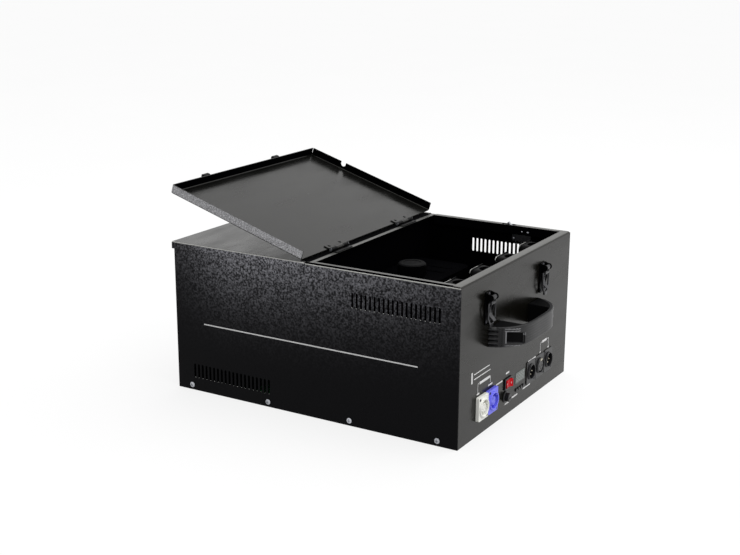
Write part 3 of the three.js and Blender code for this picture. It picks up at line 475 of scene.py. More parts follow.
def powder_coat(
    g, base, fleck, amount=0.5, roughness=0.42, bump=0.5, grain=620, gloss=0.5, crests=(0.36, 0.72, 0.12),
    fade=None,
):
    """Textured powder coat. Its pale crests have the noise at their start and end, and their least share."""
    coarse = g.noise(grain, 2, 0.6)
    fine = g.noise(grain * 2.6, 1)
    crest = g.ramp(coarse, *crests, 1.0)
    # a fade paints light: it makes the crests paler where more light falls, as glints
    if fade:
        crest = g.math("MULTIPLY", crest, fade(g))
    g.surface(
        Base_Color=g.mix(g.math("MULTIPLY", crest, amount), colour(base), colour(fleck)),
        Roughness=g.ramp(fine, 0.3, 0.7, roughness - 0.07, roughness + 0.09),
        Specular_IOR_Level=gloss,
        Specular_Tint=WARM,
        Normal=g.bump(g.math("MULTIPLY_ADD", coarse, fine, 0.4), bump, 0.00035),
    )


def smooth_paint(g, base, worn, roughness=0.4, gloss=0.5):
    """Satin paint with faint orange peel and a few scuffs."""
    scuff = g.noise(35, 5, 0.65, (1, 0.25, 1))
    g.surface(
        Base_Color=g.mix(g.ramp(scuff, 0.58, 0.75, 0, 0.5), colour(base), colour(worn)),
        Roughness=g.ramp(scuff, 0.3, 0.7, roughness - 0.05, roughness + 0.1),
        Specular_IOR_Level=gloss,
        Specular_Tint=WARM,
        Normal=g.bump(g.noise(420, 2), 0.25, 0.0002),
    )


def moulded(g, base, shade, roughness=0.35, grain=900, bump=0.2, gloss=0.5):
    """Moulded plastic or rubber with a fine grain and slight colour drift."""
    skin = g.noise(grain, 2)
    g.surface(
        Base_Color=g.mix(g.ramp(g.noise(30, 3), 0.3, 0.7), colour(base), colour(shade)),
        Roughness=g.ramp(skin, 0.3, 0.7, roughness - 0.06, roughness + 0.08),
        Specular_IOR_Level=gloss,
        Normal=g.bump(skin, bump, 0.0001),
    )


def metal(g, base, shade, roughness=0.3):
    """Bare or plated metal with fine drawn lines and a patchy bloom."""
    lines = g.noise(700, 3, 0.6, (1, 1, 6))
    g.surface(
        Base_Color=g.mix(g.ramp(g.noise(60, 3), 0.35, 0.7), colour(base), colour(shade)),
        Metallic=1.0,
        Roughness=g.ramp(lines, 0.3, 0.7, roughness - 0.08, roughness + 0.12),
        Normal=g.bump(lines, 0.12, 0.00008),
    )


# Each finish: its kind, its two colours, and the kind's other values in the order that it takes them
FINISHES = {
    "case_paint": (powder_coat, "#0e0e11", "#2c2c32", 0.5, 0.42, 0.5, 620, 0.12),
    # the front's very pale crests: partly the coat's grain, partly painted glints, which the fade puts
    # mostly along the top
    "front_paint": (
        powder_coat, "#09090c", "#d0d0d8", 0.8, 0.4, 0.8, 460, 0.05, (0.4, 0.7, 0.05), painted_glint_fade,
    ),
    # the lid's front lip: a paler, lit copy of the coat: painted light
    "lit_lid_lip": (powder_coat, "#3e3e42", "#dcdce0", 1.0, 0.35, 0.6, 700),
    "top_paint": (smooth_paint, "#131312", "#1c1c1b", 0.25, 0.41),
    "side_paint": (smooth_paint, "#0d0c09", "#151410", 0.22, 0.23),
    "lid_paint": (smooth_paint, "#0c0c0b", "#131312", 0.2, 0.29),
    # upper faces along the rim: a paler copy of the case's coat, painted sheen from the light above
    "painted_top_sheen": (smooth_paint, "#3a3a38", "#4a4a48", 0.35, 0.6),
    # folds and top edges: pale, a painted highlight
    "painted_edge_highlight": (smooth_paint, "#b4b4b1", "#d2d2cf", 0.35, 0.6),
    # inner faces and the inside of the bay: the coat made near black and without gloss, painted shade
    "painted_shade": (powder_coat, "#030304", "#070709", 0.3, 0.7, 0.4, 620, 0.0),
    # black_steel: grey, not black, a lit copy of the black steel, so its edges show painted highlights
    "black_steel": (metal, "#525254", "#262628", 0.28),
    # a near-black, shaded copy of the black steel: painted shade
    "latch_shade_black": (metal, "#0c0c0d", "#060607", 0.45),
    "zinc": (metal, "#b9bbc0", "#8f9196", 0.3),
    "brass": (metal, "#b8924c", "#8d6a34", 0.32),
    "aluminium": (metal, "#9fa1a4", "#7d7f83", 0.4),
    # the filler cap: near black and almost without gloss, much darker than the other black plastic: painted
    # shade of the bay
    "cap_metal": (moulded, "#020203", "#050506", 0.5, 500, 0.3, 0.03),
    "burner_black": (powder_coat, "#030304", "#0e0e10", 0.5, 0.5, 0.5, 620, 0.04),
    "black_plastic": (moulded, "#141416", "#1b1b1e", 0.36),
    # the tank: near black and almost without gloss, much darker than the other black plastic: painted shade
    # of the bay
    "tank_plastic": (moulded, "#010102", "#030304", 0.7, 500, 0.4, 0.005),
    "handle_rubber": (moulded, "#131314", "#1a1a1c", 0.42, 700, 0.3, 0.38),
    # the strap's raised beads: pale, a painted highlight
    "handle_bead_highlight": (moulded, "#8a8a8c", "#6c6c6f", 0.35, 700, 0.3),
    # the strap's inner face, deep relief and end blocks: near black, painted shade
    "handle_shade_black": (moulded, "#050506", "#0a0a0b", 0.6, 500, 0.6, 0.03),
    # the sides of the data sockets' flanges: paler than the plastic, painted light where they lie in shade
    "flange_side_light": (moulded, "#4a4a48", "#3c3c3a", 0.4),
    "white_plastic": (moulded, "#f8f8f2", "#eeeee6", 0.35),
    "blue_plastic": (moulded, "#7d7eff", "#6e70f4", 0.35),
    "red_plastic": (moulded, "#d40f1f", "#bb0c1a", 0.22, 900, 0.2, 0.12),
    "display_window": (moulded, "#59615d", "#4f5753", 0.12),
    "green_board": (moulded, "#1e5a32", "#184a29", 0.4),
    "grey_resin": (moulded, "#3a3c40", "#303236", 0.5),
    "black_rivet": (metal, "#4a4a4e", "#2c2c30", 0.3),
    "contact_metal": (metal, "#c9c4b4", "#a09a88", 0.28),
    "digit_grey": (moulded, "#8f9792", "#868e89", 0.3),
    # the burners' rims: pale metal on the faces turned up and forward, a painted highlight
    "burner_rim_highlight": (metal, "#a9a9a6", "#6a6a68", 0.35),
    "ceramic": (moulded, "#d8d4c8", "#c9c4b6", 0.35),
    "print_white": (moulded, "#e9e9e9", "#dcdcdc", 0.5),
}
MATERIALS = {name: bpy.data.materials.new(name) for name in FINISHES}
for name, (kind, *values) in FINISHES.items():
    kind(Graph(MATERIALS[name]), *values)
SLOT_MATERIAL = {"black_paint": "case_paint"}

# A bevel that rounds every sharp edge a little
EASED = {"segments": 2, "limit_method": "ANGLE", "angle_limit": SMOOTH_ANGLE}


def piece(name, bm, body, slot, *nodes, material=None, edges=None):
    """Turns a drawing into a piece that rides on a body and may stand for CAD nodes."""
    if edges:
        bm = with_modifier(bm, "BEVEL", width=edges, **EASED)
    bmesh.ops.recalc_face_normals(bm, faces=bm.faces)
    bmesh.ops.scale(bm, vec=(MM, MM, MM), verts=bm.verts)
    mesh = as_mesh(name, bm)
    mesh.shade_smooth()
    mesh.set_sharp_from_angle(angle=SMOOTH_ANGLE)
    mesh.materials.append(MATERIALS[material or SLOT_MATERIAL.get(slot, slot)])
    made = linked(name, mesh)
    made.modifiers.new("even_shading", "WEIGHTED_NORMAL").keep_sharp = True
    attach(made, body)
    if nodes:
        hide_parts(*nodes)
    return made


def repaint(made, choose, *finishes):
    """Repaints faces: choose is told a face's centre in millimetres and its normal, and names a finish."""
    places = {}
    for finish in finishes:
        places[finish] = len(made.data.materials)
        made.data.materials.append(MATERIALS[finish])
    for face in made.data.polygons:
        finish = choose(face.center / MM, face.normal)
        if finish:
            face.material_index = places[finish]


def faced(made, finish, way, above=-math.inf):
    """Gives the faces that look one way another finish, if asked only those above a height."""
    repaint(made, lambda at, normal: normal.dot(way) > 0.8 and at.z > above and finish, finish)


def sheen_on_top(made):
    """Gives the upper faces along the rim of the case a paler copy of their paint: a painted sheen from the
    light above.
    """
    faced(made, "painted_top_sheen", UP, HEIGHT - 1)


def dress_nodes():
    """Gives each CAD node its finish and softer edges; the pan, the bay floor and the power supply get
    painted shade.
    """
    inside = {"base_pan", "bay_floor", "power_supply"}
    for entry in frame["record"]["subparts"]:
        node = frame["nodes"][entry["node"]]
        slot = entry["material_slot"]
        chosen = "painted_shade" if entry["node"] in inside else SLOT_MATERIAL.get(slot, slot)
        node.data.materials.clear()
        node.data.materials.append(MATERIALS[chosen])
        soften = node.modifiers.new("soft_edges", "BEVEL")
        for setting, value in {"width": FINE * MM, **EASED}.items():
            setattr(soften, setting, value)


# Case panels

COVER_SEAM = node_box("left_top_cover")[1].x
VENT_PITCH = 6.25
VENT_COUNT = 20
VENT_WIDTH = 3.0
VENT_HEIGHT = 19.0
BAY_VENT = (63.0, 162.0)
REAR_VENT = (64.4, 163.2)
CASE_VENT = (-180.5, 27.5)
PANEL_FACE = WALL_X + GAP
SCREW_X = [-185.5 + 122.4 * i for i in range(4)]
SCREW_Z = 7.0
SCREW_HOLE = 2.0
TOP_STEP = 1.5
PANEL_SCREW = (3.7, 2.0)
HEM_DEPTH = 1.1
HEM_SHEET = 1.0
HEM_PROUD = 0.2


def vent_slots(first_x, z):
    """Outlines of a row of upright slots with round ends."""
    radius = VENT_WIDTH / 2
    straight = VENT_HEIGHT / 2 - radius
    rows = []
    for i in range(VENT_COUNT):
        x = first_x + i * VENT_PITCH
        rows.append(arc(x, z + straight, radius, 0, 180, 6) + arc(x, z - straight, radius, 180, 360, 6))
    return rows


def long_panel(name, node, vents, inward):
    """The front or the rear panel, whose top stops just under the cover and the rim, in a hem painted pale
    as a highlight; its inner face gets painted shade.
    """
    low, high = node_box(node)
    shelf = HEIGHT - TOP_STEP
    outline = rectangle((-WALL_X, WALL_X), (low.z, shelf))
    holes = [slot for vent in vents for slot in vent_slots(*vent)]
    holes += [ring_points(x, SCREW_Z, SCREW_HOLE, 20) for x in SCREW_X]
    panel = plate("y", outline, (low.y, high.y), holes, edge=0.3, steps=2)
    made = piece(name, panel, "case", "black_paint", node, material="front_paint")
    # the inner face gets painted shade
    faced(made, "painted_shade", inward * REAR)
    # the top edge gets a painted highlight
    faced(made, "painted_edge_highlight", UP)
    outer = low.y if inward > 0 else high.y
    across = sorted((outer - inward * HEM_PROUD, outer + inward * HEM_SHEET))
    hem = slab((COVER_SEAM + GAP, WALL_X), across, (shelf - HEM_DEPTH, shelf), 0.3)
    # the hem is painted pale: a painted highlight along the top
    piece(f"{node}_hem", hem, "case", "black_paint", material="painted_edge_highlight")


def panel_screws(name, facing, y):
    """The row of zinc screws along the foot of a panel."""
    screw = pan_screw(*PANEL_SCREW)
    piece(name, copies(screw, facing, [(x, y, SCREW_Z) for x in SCREW_X]), "case", "zinc")


def top_cover():
    """The cover over the closed half, speckled on its lips with grain and painted glints, and with painted
    highlights along their folds.
    """
    low, high = node_box("left_top_cover")
    cover = tray((low.x, high.x), (low.y, high.y), (low.z, high.z), RIGHT)
    node = "left_top_cover"
    made = piece("top_cover_shell", cover, "case", "black_paint", node, material="top_paint", edges=0.2)
    faced(made, "front_paint", FRONT)
    faced(made, "front_paint", REAR)
    # the folds get a painted highlight
    repaint(made, lambda at, normal: abs(normal.y) > 0.3 and normal.z > 0.3 and "painted_edge_highlight", "painted_edge_highlight")


SIDE_FLANGE = 11.5
SIDE_FOLD = 3.0
INNER_FOLD = 1.5
POWER_Y = (-103.0, -76.0)
DATA_Y = (45.0, 73.0, 101.0)
SOCKET_Z = 36.0
SWITCH_Y, SWITCH_Z = -25.0, 42.0
FUSE_Y, FUSE_Z = -31.0, 25.5
DISPLAY_Y, DISPLAY_Z = 12.0, 40.0
BUTTON_Y = [DISPLAY_Y + (i - 1.5) * 7 for i in range(4)]
BUTTON_Z = 24.0

# The end panel's cut-outs: the places, radius and sides of round ones, and the half sizes of square ones
ROUND_HOLES = (
    (POWER_Y, SOCKET_Z, 11.7, 48), (DATA_Y, SOCKET_Z, 10.3, 48), (BUTTON_Y, BUTTON_Z, 2.5, 24),
    ((FUSE_Y,), FUSE_Z, 6.3, 48),
)
SQUARE_HOLES = ((SWITCH_Y, 9.8, SWITCH_Z, 6.8), (DISPLAY_Y, 14.3, DISPLAY_Z, 7.3))


def side_panel():
    """The connector panel, folded in along its top edge, with the cut-outs of its fittings."""
    node = "right_side_panel"
    low, high = node_box(node)
    path = [(WALL_X, low.z), (WALL_X, HEIGHT), (WALL_X - SIDE_FLANGE, HEIGHT)]
    sheet_piece = folded("y", path, SHEET, (low.y, high.y), fold=SIDE_FOLD)
    through = around(WALL_X, 4)
    tools = []
    for row, z, radius, sides in ROUND_HOLES:
        tools += [disc("x", (y, z), radius, through, SHARP, sides) for y in row]
    for y, half_y, z, half_z in SQUARE_HOLES:
        tools.append(slab(through, around(y, half_y), around(z, half_z), 0))
    panel = carved(sheet_piece, *tools)
    made = piece("side_panel_sheet", panel, "case", "black_paint", node, material="side_paint", edges=0.2)
    # the inner face gets painted shade, and the top a painted sheen
    faced(made, "painted_shade", LEFT)
    sheen_on_top(made)


def left_panel():
    """The plain end panel, folded in along its top edge under the cover."""
    node = "left_side_panel"
    low, high = node_box(node)
    path = [(high.x, high.z), (low.x, high.z), (low.x, low.z)]
    sheet_piece = folded("y", path, SHEET, (low.y, high.y), fold=INNER_FOLD)
    made = piece("left_panel_sheet", sheet_piece, "case", "black_paint", node, material="side_paint")
    # the inner face gets painted shade
    faced(made, "painted_shade", RIGHT)


SWITCH_EYE = 1.9
PARTITION_X = COVER_SEAM + GAP
# how far the near-black strip at the hinges reaches to each side; the strip is painted shade
GAP_SHADE_REACH = (9.5, 3.5)


def partition():
    """The folded wall between the closed half and the bay, painted shade with a painted sheen on its flange,
    and a near-black strip at the hinges that stands for the shade in the gap there.
    """
    low, high = node_box("bay_partition")
    base = low.z + SHEET
    path = [(high.x, HEIGHT), (PARTITION_X, HEIGHT), (PARTITION_X, base), (low.x, base)]
    wall = folded("y", path, SHEET, (low.y, high.y), fold=INNER_FOLD)
    made = piece("partition_sheet", wall, "case", "black_paint", "bay_partition", material="painted_shade")
    sheen_on_top(made)
    # a near-black strip where there is only the shade of the gap beside the lid's hinge edge: painted shade
    across = (PARTITION_X - GAP_SHADE_REACH[0], PARTITION_X + GAP_SHADE_REACH[1])
    dark_gap_strip = slab(across, (low.y + 1, high.y - 1), (HEIGHT - 0.1, HEIGHT + 0.2), 0)
    piece("hinge_shade_strip", dark_gap_strip, "case", "black_plastic", material="tank_plastic")


def rims():
    """The angle strips along the front and the rear of the open bay, with a painted sheen on top and painted
    shade elsewhere.
    """
    node = "bay_rim_front"
    low, high = node_box(node)
    path = [(high.y, low.z), (high.y, high.z), (low.y, high.z)]
    strip = folded("x", path, SHEET, (low.x, high.x), fold=INNER_FOLD)
    # the front strip: painted shade, with a painted sheen on top
    sheen_on_top(piece("rim_front_strip", strip, "case", "black_paint", node, material="painted_shade"))

    node = "bay_rim_rear"
    low, high = node_box(node)
    pivot = node_box("lid_switch_body")[0].x + SWITCH_EYE
    web = slab((low.x, high.x), (low.y, low.y + SHEET), (low.z, high.z - SHEET / 2), 0.2)
    window = rectangle((pivot - 18, pivot + 2.5), (low.y + SHEET, high.y - SHEET), 0.8)
    outline = rectangle((low.x, high.x), (low.y, high.y))
    top = plate("z", outline, (high.z - SHEET, high.z), [window], edge=0.2)
    # the rear strip: painted shade, with a painted sheen on top
    sheen_on_top(piece("rim_rear_strip", merged(web, top), "case", "black_paint", node, material="painted_shade"))


# The lid and what is fixed to it, drawn shut from the hinge axis and turned open

LID_OPEN = math.radians(163)
hinge_low, hinge_high = node_box("hinge_pin_front")
HINGE_AXIS = Vector(((hinge_low.x + hinge_high.x) / 2, 0, (hinge_low.z + hinge_high.z) / 2))
LID_TURN = Matrix.Translation(HINGE_AXIS) @ Matrix.Rotation(-LID_OPEN, 4, "Y")
LID_START = 4.5
LID_REACH = 214.3
LID_UNDER = 0.9
LID_TOP = LID_UNDER + SHEET
LID_EDGE = LID_TOP - 12.0
LID_FOLD = 2.6
LID_NOTCH = (153.3, 161.7)
LID_NOTCH_DEPTH = 6.7
# how far from the lips' edges the painted shade inside them reaches
LIP_SHADE_BAND = 4.0
LIP_SEAM_HALF = 0.3


def lid_piece(name, bm, slot, *nodes, **finish):
    """A piece drawn on the shut lid, which rides on the lid and starts open."""
    return piece(name, moved(bm, LID_TURN), "lid_assembly", slot, *nodes, **finish)


def lid_notch(half):
    """The tool that cuts the round-bottomed notch into the rear lip."""
    left, right = LID_NOTCH
    radius = (right - left) / 2
    bottom = LID_EDGE + LID_NOTCH_DEPTH - radius
    outline = [(right, LID_EDGE - 4), *arc(left + radius, bottom, radius, 0, 180, 16), (left, LID_EDGE - 4)]
    return plate("y", outline, (half - 4, half + 4), edge=0.01)


def lid_shell():
    """The lid: a shallow tray without a lip on the hinge side, notched at the rear for the lid switch."""
    half = node_box("lid")[1].y
    shell = tray((LID_START, LID_REACH), (-half, half), (LID_EDGE, LID_TOP), LEFT, fold=LID_FOLD)
    seam = slab(around(0, LIP_SEAM_HALF), (-6, 6), (LID_EDGE - 2, LID_UNDER - 3.5), 0)
    corner = Matrix.Translation((LID_REACH, half, 0)) @ Matrix.Rotation(math.radians(-45), 4, "Z")
    lid = carved(shell, lid_notch(half), moved(seam, corner))
    made = lid_piece("lid_shell", lid, "black_paint", "lid", material="lid_paint", edges=0.2)
    shut = LID_TURN.inverted()

    def finish(at, normal):
        at, normal = shut @ at, shut.to_3x3() @ normal
        # the front lip gets the paler, lit copy of the coat: painted light
        if normal.y < -0.98 and at.y < -half + 0.5:
            return "lit_lid_lip"
        # the inner faces of the lips near their edges and the fold along the front get painted shade
        on_lip = at.y > half - LIP_SHADE_BAND or at.x > LID_REACH - LIP_SHADE_BAND
        inner = max(-normal.x, -normal.y) > 0.9 and at.z < LID_UNDER and on_lip
        shaded_fold = normal.y < -0.2 and at.y < -half + LID_FOLD and at.z > LID_UNDER - 3
        return (inner or shaded_fold) and "painted_shade"

    repaint(made, finish, "lit_lid_lip", "painted_shade")


# Handles

HANDLE_MIDDLE = -11.0
HANDLE_SPAN = 76.0
HANDLE_BULGE = 37.2
HANDLE_THICK = 5.0
HANDLE_FULLNESS = 3.6
HANDLE_POWER = 0.8
HANDLE_HEIGHT = 25.0
HANDLE_TOP = 132.0
HANDLE_STEPS = 240
HANDLE_ROWS = 60
END_SHARE = 0.56
RIB_PITCH = 5.8
RIB_DEPTH = 2.6


def bell(value, middle, half, soft):
    """1 inside a band, 0 outside it, with soft edges."""
    away = abs(value - middle) - half
    return min(1, max(0, 0.5 - away / soft))


def pocket_middle(side):
    """How far below the top edge the middle of the pocket beside a root lies."""
    return 12.7 + (0.847 - side) * 14


def handle_beads(side, drop):
    """The raised lines round the pocket: two above it, one below, one at each end."""
    lean = (0.878 - side) / 0.168
    lines = bell(drop, 1.7 + 1.3 * lean, 0.5, 0.6) + bell(drop, 4.4 + 1.3 * lean, 0.55, 0.6)
    lines += bell(drop, 22.6 + 1.2 * lean, 0.4, 0.5)
    ends = bell(side, 0.862, 0.009, 0.006) * bell(drop, pocket_middle(side), 7.4, 1)
    ends += bell(side, 0.553, 0.006, 0.004) * bell(drop, 11.5, 1.6, 0.8)
    return min(1, lines * bell(side, 0.77, 0.105, 0.02) + ends)


def handle_relief(share, drop):
    """How far the outer face lies below its full form, at a depth below the top edge, in millimetres."""
    side = abs(share)
    wave = 0.5 - 0.5 * math.cos((drop - 2.5) / RIB_PITCH * 2 * math.pi)
    ribs = RIB_DEPTH * wave * bell(side, 0.99, 0.045, 0.02)
    grip = (0.5 + 0.25 * math.sin(drop * 2.3) * math.sin(side * 380)) * bell(side, 0.912, 0.034, 0.012)
    pocket = 2.6 * bell(side, 0.705, 0.142, 0.012) * bell(drop, pocket_middle(side), 6.5, 1.2)
    streaks = 0.2 * (0.5 + 0.5 * math.sin(drop * 1.9)) * bell(side, 0.0, 0.5, 0.08)
    return ribs + grip + pocket + streaks - 0.5 * handle_beads(side, drop)


def strap_lines(share):
    """The outer and the inner line of the strap in plan."""
    arch = max(0, 1 - abs(share) ** HANDLE_FULLNESS) ** HANDLE_POWER
    outer = Vector((PANEL_FACE + HANDLE_BULGE * arch, HANDLE_MIDDLE + share * HANDLE_SPAN))
    inner_x = PANEL_FACE + (HANDLE_BULGE - HANDLE_THICK) * arch
    return outer, Vector((inner_x, HANDLE_MIDDLE + share * (HANDLE_SPAN - HANDLE_THICK)))


def handle_ring(share):
    """One section of the strap: its detailed outer face and its plain inner face."""
    outer, inner = strap_lines(share)
    across = (inner - outer).normalized()
    ring = []
    for i in range(HANDLE_ROWS + 1):
        drop = HANDLE_HEIGHT * (1 - i / HANDLE_ROWS)
        round_off = 0.8 * max(0, (abs(2 * i / HANDLE_ROWS - 1) - 0.93) / 0.07) ** 2
        place = outer + across * (handle_relief(share, drop) + round_off)
        ring.append((place.x, place.y, HANDLE_TOP - drop))
    for i in range(5):
        place = inner - across * (0.5 if i in (0, 4) else 0)
        ring.append((place.x, place.y, HANDLE_TOP - 0.3 - (HANDLE_HEIGHT - 0.6) * i / 4))
    return ring


def handle_end(side, angles):
    """The block that fills the corner behind one end of the strap."""
    plan = []
    for share in (math.sin(angle) for angle in angles):
        if END_SHARE <= share * side <= 0.997:
            outer, inner = strap_lines(share)
            plan.append(tuple(inner + (outer - inner) * 0.2))
    free = plan[-1] if side < 0 else plan[0]
    corner = (PANEL_FACE, free[1])
    plan = [*plan, corner] if side < 0 else [corner, *plan]
    return plate("z", plan, (HANDLE_TOP - HANDLE_HEIGHT + 0.2, HANDLE_TOP - 0.2), edge=0.4, steps=2)


def finish_strap(strap, spin):
    """Paints shade on the inner face and in the pockets beside the roots, and pale highlights on the raised
    beads.
    """
    back = spin.inverted()

    def finish(at, normal):
        at, normal = back @ at, back.to_3x3() @ normal
        side = (at.y - HANDLE_MIDDLE) / HANDLE_SPAN
        # the inner face and the deep relief get painted shade, the raised beads a painted highlight
        if normal.dot(Vector((0.5, side, 0))) < -0.2:
            return "handle_shade_black"
        if normal.z >= 0.6 or abs(side) <= 0.54:
            return None
        relief = handle_relief(side, HANDLE_TOP - at.z)
        deep = 0.6 if abs(side) < 0.87 else 0.5 if abs(side) < 0.945 else 1.3
        if relief > deep:
            return "handle_shade_black"
        return relief < -0.15 and "handle_bead_highlight"

    repaint(strap, finish, "handle_bead_highlight", "handle_shade_black")


def handle(name, node, turn):
    """A moulded strap handle that arches out of an end panel, with a solid block behind each end, made near
    black as painted shade.
    """
    angles = [math.pi * (step / HANDLE_STEPS - 0.5) for step in range(HANDLE_STEPS + 1)]
    spin = Matrix.Rotation(turn, 4, "Z")
    strap = moved(loft([handle_ring(math.sin(angle)) for angle in angles]), spin)
    finish_strap(piece(f"{name}_strap", strap, "case", "handle_rubber", node), spin)
    ends = merged(*[handle_end(side, angles) for side in (-1, 1)])
    piece(f"{name}_ends", moved(ends, spin), "case", "handle_rubber", node, material="handle_shade_black")


# Latches on the connector side

LATCH_PLATE = 1.5
FULCRUM = Vector((WALL_X + 7, 172))
BAIL_EYE = Vector((WALL_X + 5.5, 165))
EAR_RADIUS = 4.0
LEVER_HALF = 5.5
EAR_PLAY = 0.4
EAR_SHEET = 1.2
LEVER_SHEET = 1.2
LEVER_X = PANEL_FACE + LATCH_PLATE + 0.6
LEVER_TAPER_SHARE = 0.42
BOSS_RADIUS = 2.9
EYE_RADIUS = 2.5
PIN_BORE = 1.5
BAIL_RADIUS = 1.2
BAIL_LEG = 9.0
BAIL_TIP = 3.2
KEEPER_HALF = 6.0
KEEPER_SHEET = 1.2
KEEPER_HOOK = 3.2


def latch_base(label, centre):
    """A plate with two ears, a cross pin with domed ends and three rivets."""
    low, high = node_box(f"latch_base_{label}")
    face = PANEL_FACE + LATCH_PLATE
    outline = rectangle(around(centre, 9), (low.z, high.z), 3.2)
    parts = [plate("x", outline, (PANEL_FACE, face), edge=0.35, steps=2)]
    pin = (FULCRUM.x, FULCRUM.y)
    ear = [(face - 0.6, FULCRUM.y - 9), (FULCRUM.x - 1, FULCRUM.y - EAR_RADIUS)]
    ear += arc(*pin, EAR_RADIUS, -80, 100, 10) + [(face - 0.6, FULCRUM.y + 5.5)]
    for side in (-1, 1):
        inner = centre + side * (LEVER_HALF + EAR_PLAY)
        outer = inner + side * EAR_SHEET
        parts.append(plate("y", ear, sorted((inner, outer)), edge=0.2))
        parts.append(disc("y", pin, 2.0, sorted((outer - side * 0.2, outer + side * 0.7)), 0.3, 20))
    parts.append(disc("y", pin, 1.2, around(centre, LEVER_HALF + EAR_PLAY + 0.4), 0.1, 16))
    node = f"latch_base_{label}"
    # the plate takes the shaded copy of the black steel: painted shade
    piece(f"latch_plate_{label}", merged(*parts), "case", "black_steel", node, material="latch_shade_black")
    rivet = turned("z", (0, 0), [(0, -0.3), (2.1, -0.3), (2.1, 0.2), (1.7, 0.8), (0.9, 1.1), (0, 1.2)], 20)
    places = [(face, centre + side * 6, low.z + 4) for side in (-1, 1)]
    places += [(face, centre, high.z - 3.2)]
    piece(f"latch_rivets_{label}", copies(rivet, "+x", places), "case", "zinc", material="black_rivet")


def lever_blade(centre, low, high, bend):
    """The lever's blade, turned out at its tip and drawn in towards it."""
    tip = [(LEVER_X, BAIL_EYE.y + 2.4), (LEVER_X, bend), (high.x - 0.9, low.z + 0.5)]
    outer = eased([(*p, 0) for p in tip], 6)
    outline = [(p.x, p.y) for p in outer]
    outline += [(p.x + LEVER_SHEET, p.y + 0.25) for p in reversed(outer)]
    blade = plate("y", outline, around(centre, LEVER_HALF), edge=0.2)
    for vert in blade.verts:
        drop = max(0, (bend + 3 - vert.co.z) / (bend + 3 - low.z))
        vert.co.y = centre + (vert.co.y - centre) * (1 - LEVER_TAPER_SHARE * min(1, drop * 1.4))
    return blade


def latch_lever(label, centre):
    """A pressed lever with side cheeks, a boss round each pin and a turned-out tip."""
    low, high = node_box(f"latch_lever_{label}")
    bend = FULCRUM.y - 22
    cheek = arc(FULCRUM.x, FULCRUM.y, BOSS_RADIUS, -60, 120, 8)
    cheek += [
        (BAIL_EYE.x - 2.5, BAIL_EYE.y + 2.2), (LEVER_X + 0.2, BAIL_EYE.y - 1), (LEVER_X + 0.2, bend + 1),
        (LEVER_X + 1.4, bend - 0.5), (BAIL_EYE.x + 0.6, BAIL_EYE.y - 6),
    ]
    cheek += arc(BAIL_EYE.x, BAIL_EYE.y, EYE_RADIUS, -60, 10, 4)
    parts = [lever_blade(centre, low, high, bend)]
    for side in (-1, 1):
        outer = centre + side * LEVER_HALF
        parts.append(plate("y", cheek, sorted((outer, outer - side * LEVER_SHEET)), edge=0.2))
    for eye, radius in ((FULCRUM, BOSS_RADIUS), (BAIL_EYE, EYE_RADIUS)):
        parts.append(collar("y", eye, PIN_BORE, radius, around(centre, LEVER_HALF - 0.2), 0.1, 24))
    # the lever takes the grey, lit copy of the black steel: painted highlights
    piece(f"latch_arm_{label}", merged(*parts), f"{label}_lever", "black_steel", f"latch_lever_{label}")


def latch_bail(label, centre):
    """The wire loop that hooks over the lid's keeper, and its flattened tip."""
    top = BAIL_EYE.y
    half = [(0, 0), (-BAIL_LEG, 0), (-BAIL_LEG, 18), (-BAIL_TIP, 26.5)]
    loop = half + [(-across, drop) for across, drop in reversed(half)]
    route = [Vector((BAIL_EYE.x, centre + across, top - drop)) for across, drop in loop]
    wire = tube(eased(route, 2.2)[:-1], BAIL_RADIUS, 14, closed=True)
    outline = rectangle(around(centre, BAIL_TIP + 0.6), (top - 30, top - 25.3), 1.2)
    tab = plate("x", outline, around(BAIL_EYE.x, BAIL_RADIUS), edge=0.4, steps=2)
    # the wire takes the grey, lit copy of the black steel: painted highlights
    piece(f"latch_wire_{label}", merged(wire, tab), f"{label}_bail", "black_steel", f"latch_bail_{label}")


def keeper(label, centre):
    """The hooked catch on the lid's end, with its two rivets."""
    inner = LID_REACH + GAP
    outer = inner + KEEPER_SHEET
    lip = outer + KEEPER_HOOK + KEEPER_SHEET
    bottom, top = -10.3, 0.3
    path = [(inner, top), (inner, bottom), (lip, bottom), (lip, bottom + 4.1)]
    hook = folded("y", path, KEEPER_SHEET, around(centre, KEEPER_HALF), fold=1.5)
    # the keeper takes the shaded copy of the black steel: painted shade
    lid_piece(f"keeper_hook_{label}", hook, "black_steel", f"lid_keeper_{label}", material="latch_shade_black")
    rivet = turned("z", (0, 0), [(0, -0.2), (1.6, -0.2), (1.6, 0.2), (1.0, 0.8), (0, 1.0)], 16)
    rivets = copies(rivet, "+x", [(outer, centre + side * 3, -2.7) for side in (-1, 1)])
    lid_piece(f"keeper_rivets_{label}", rivets, "black_steel", material="black_rivet")


# Hinges

HINGE_HALF = 19.0
KNUCKLE_RADIUS = 2.6
KNUCKLE_SHARE = 0.29
LEAF_CORNER = 1.5
LEAF_HALF = 0.5
LID_LEAF = (2.9, 12.0)
LEAF_SCREW = (7.6, 12.5)


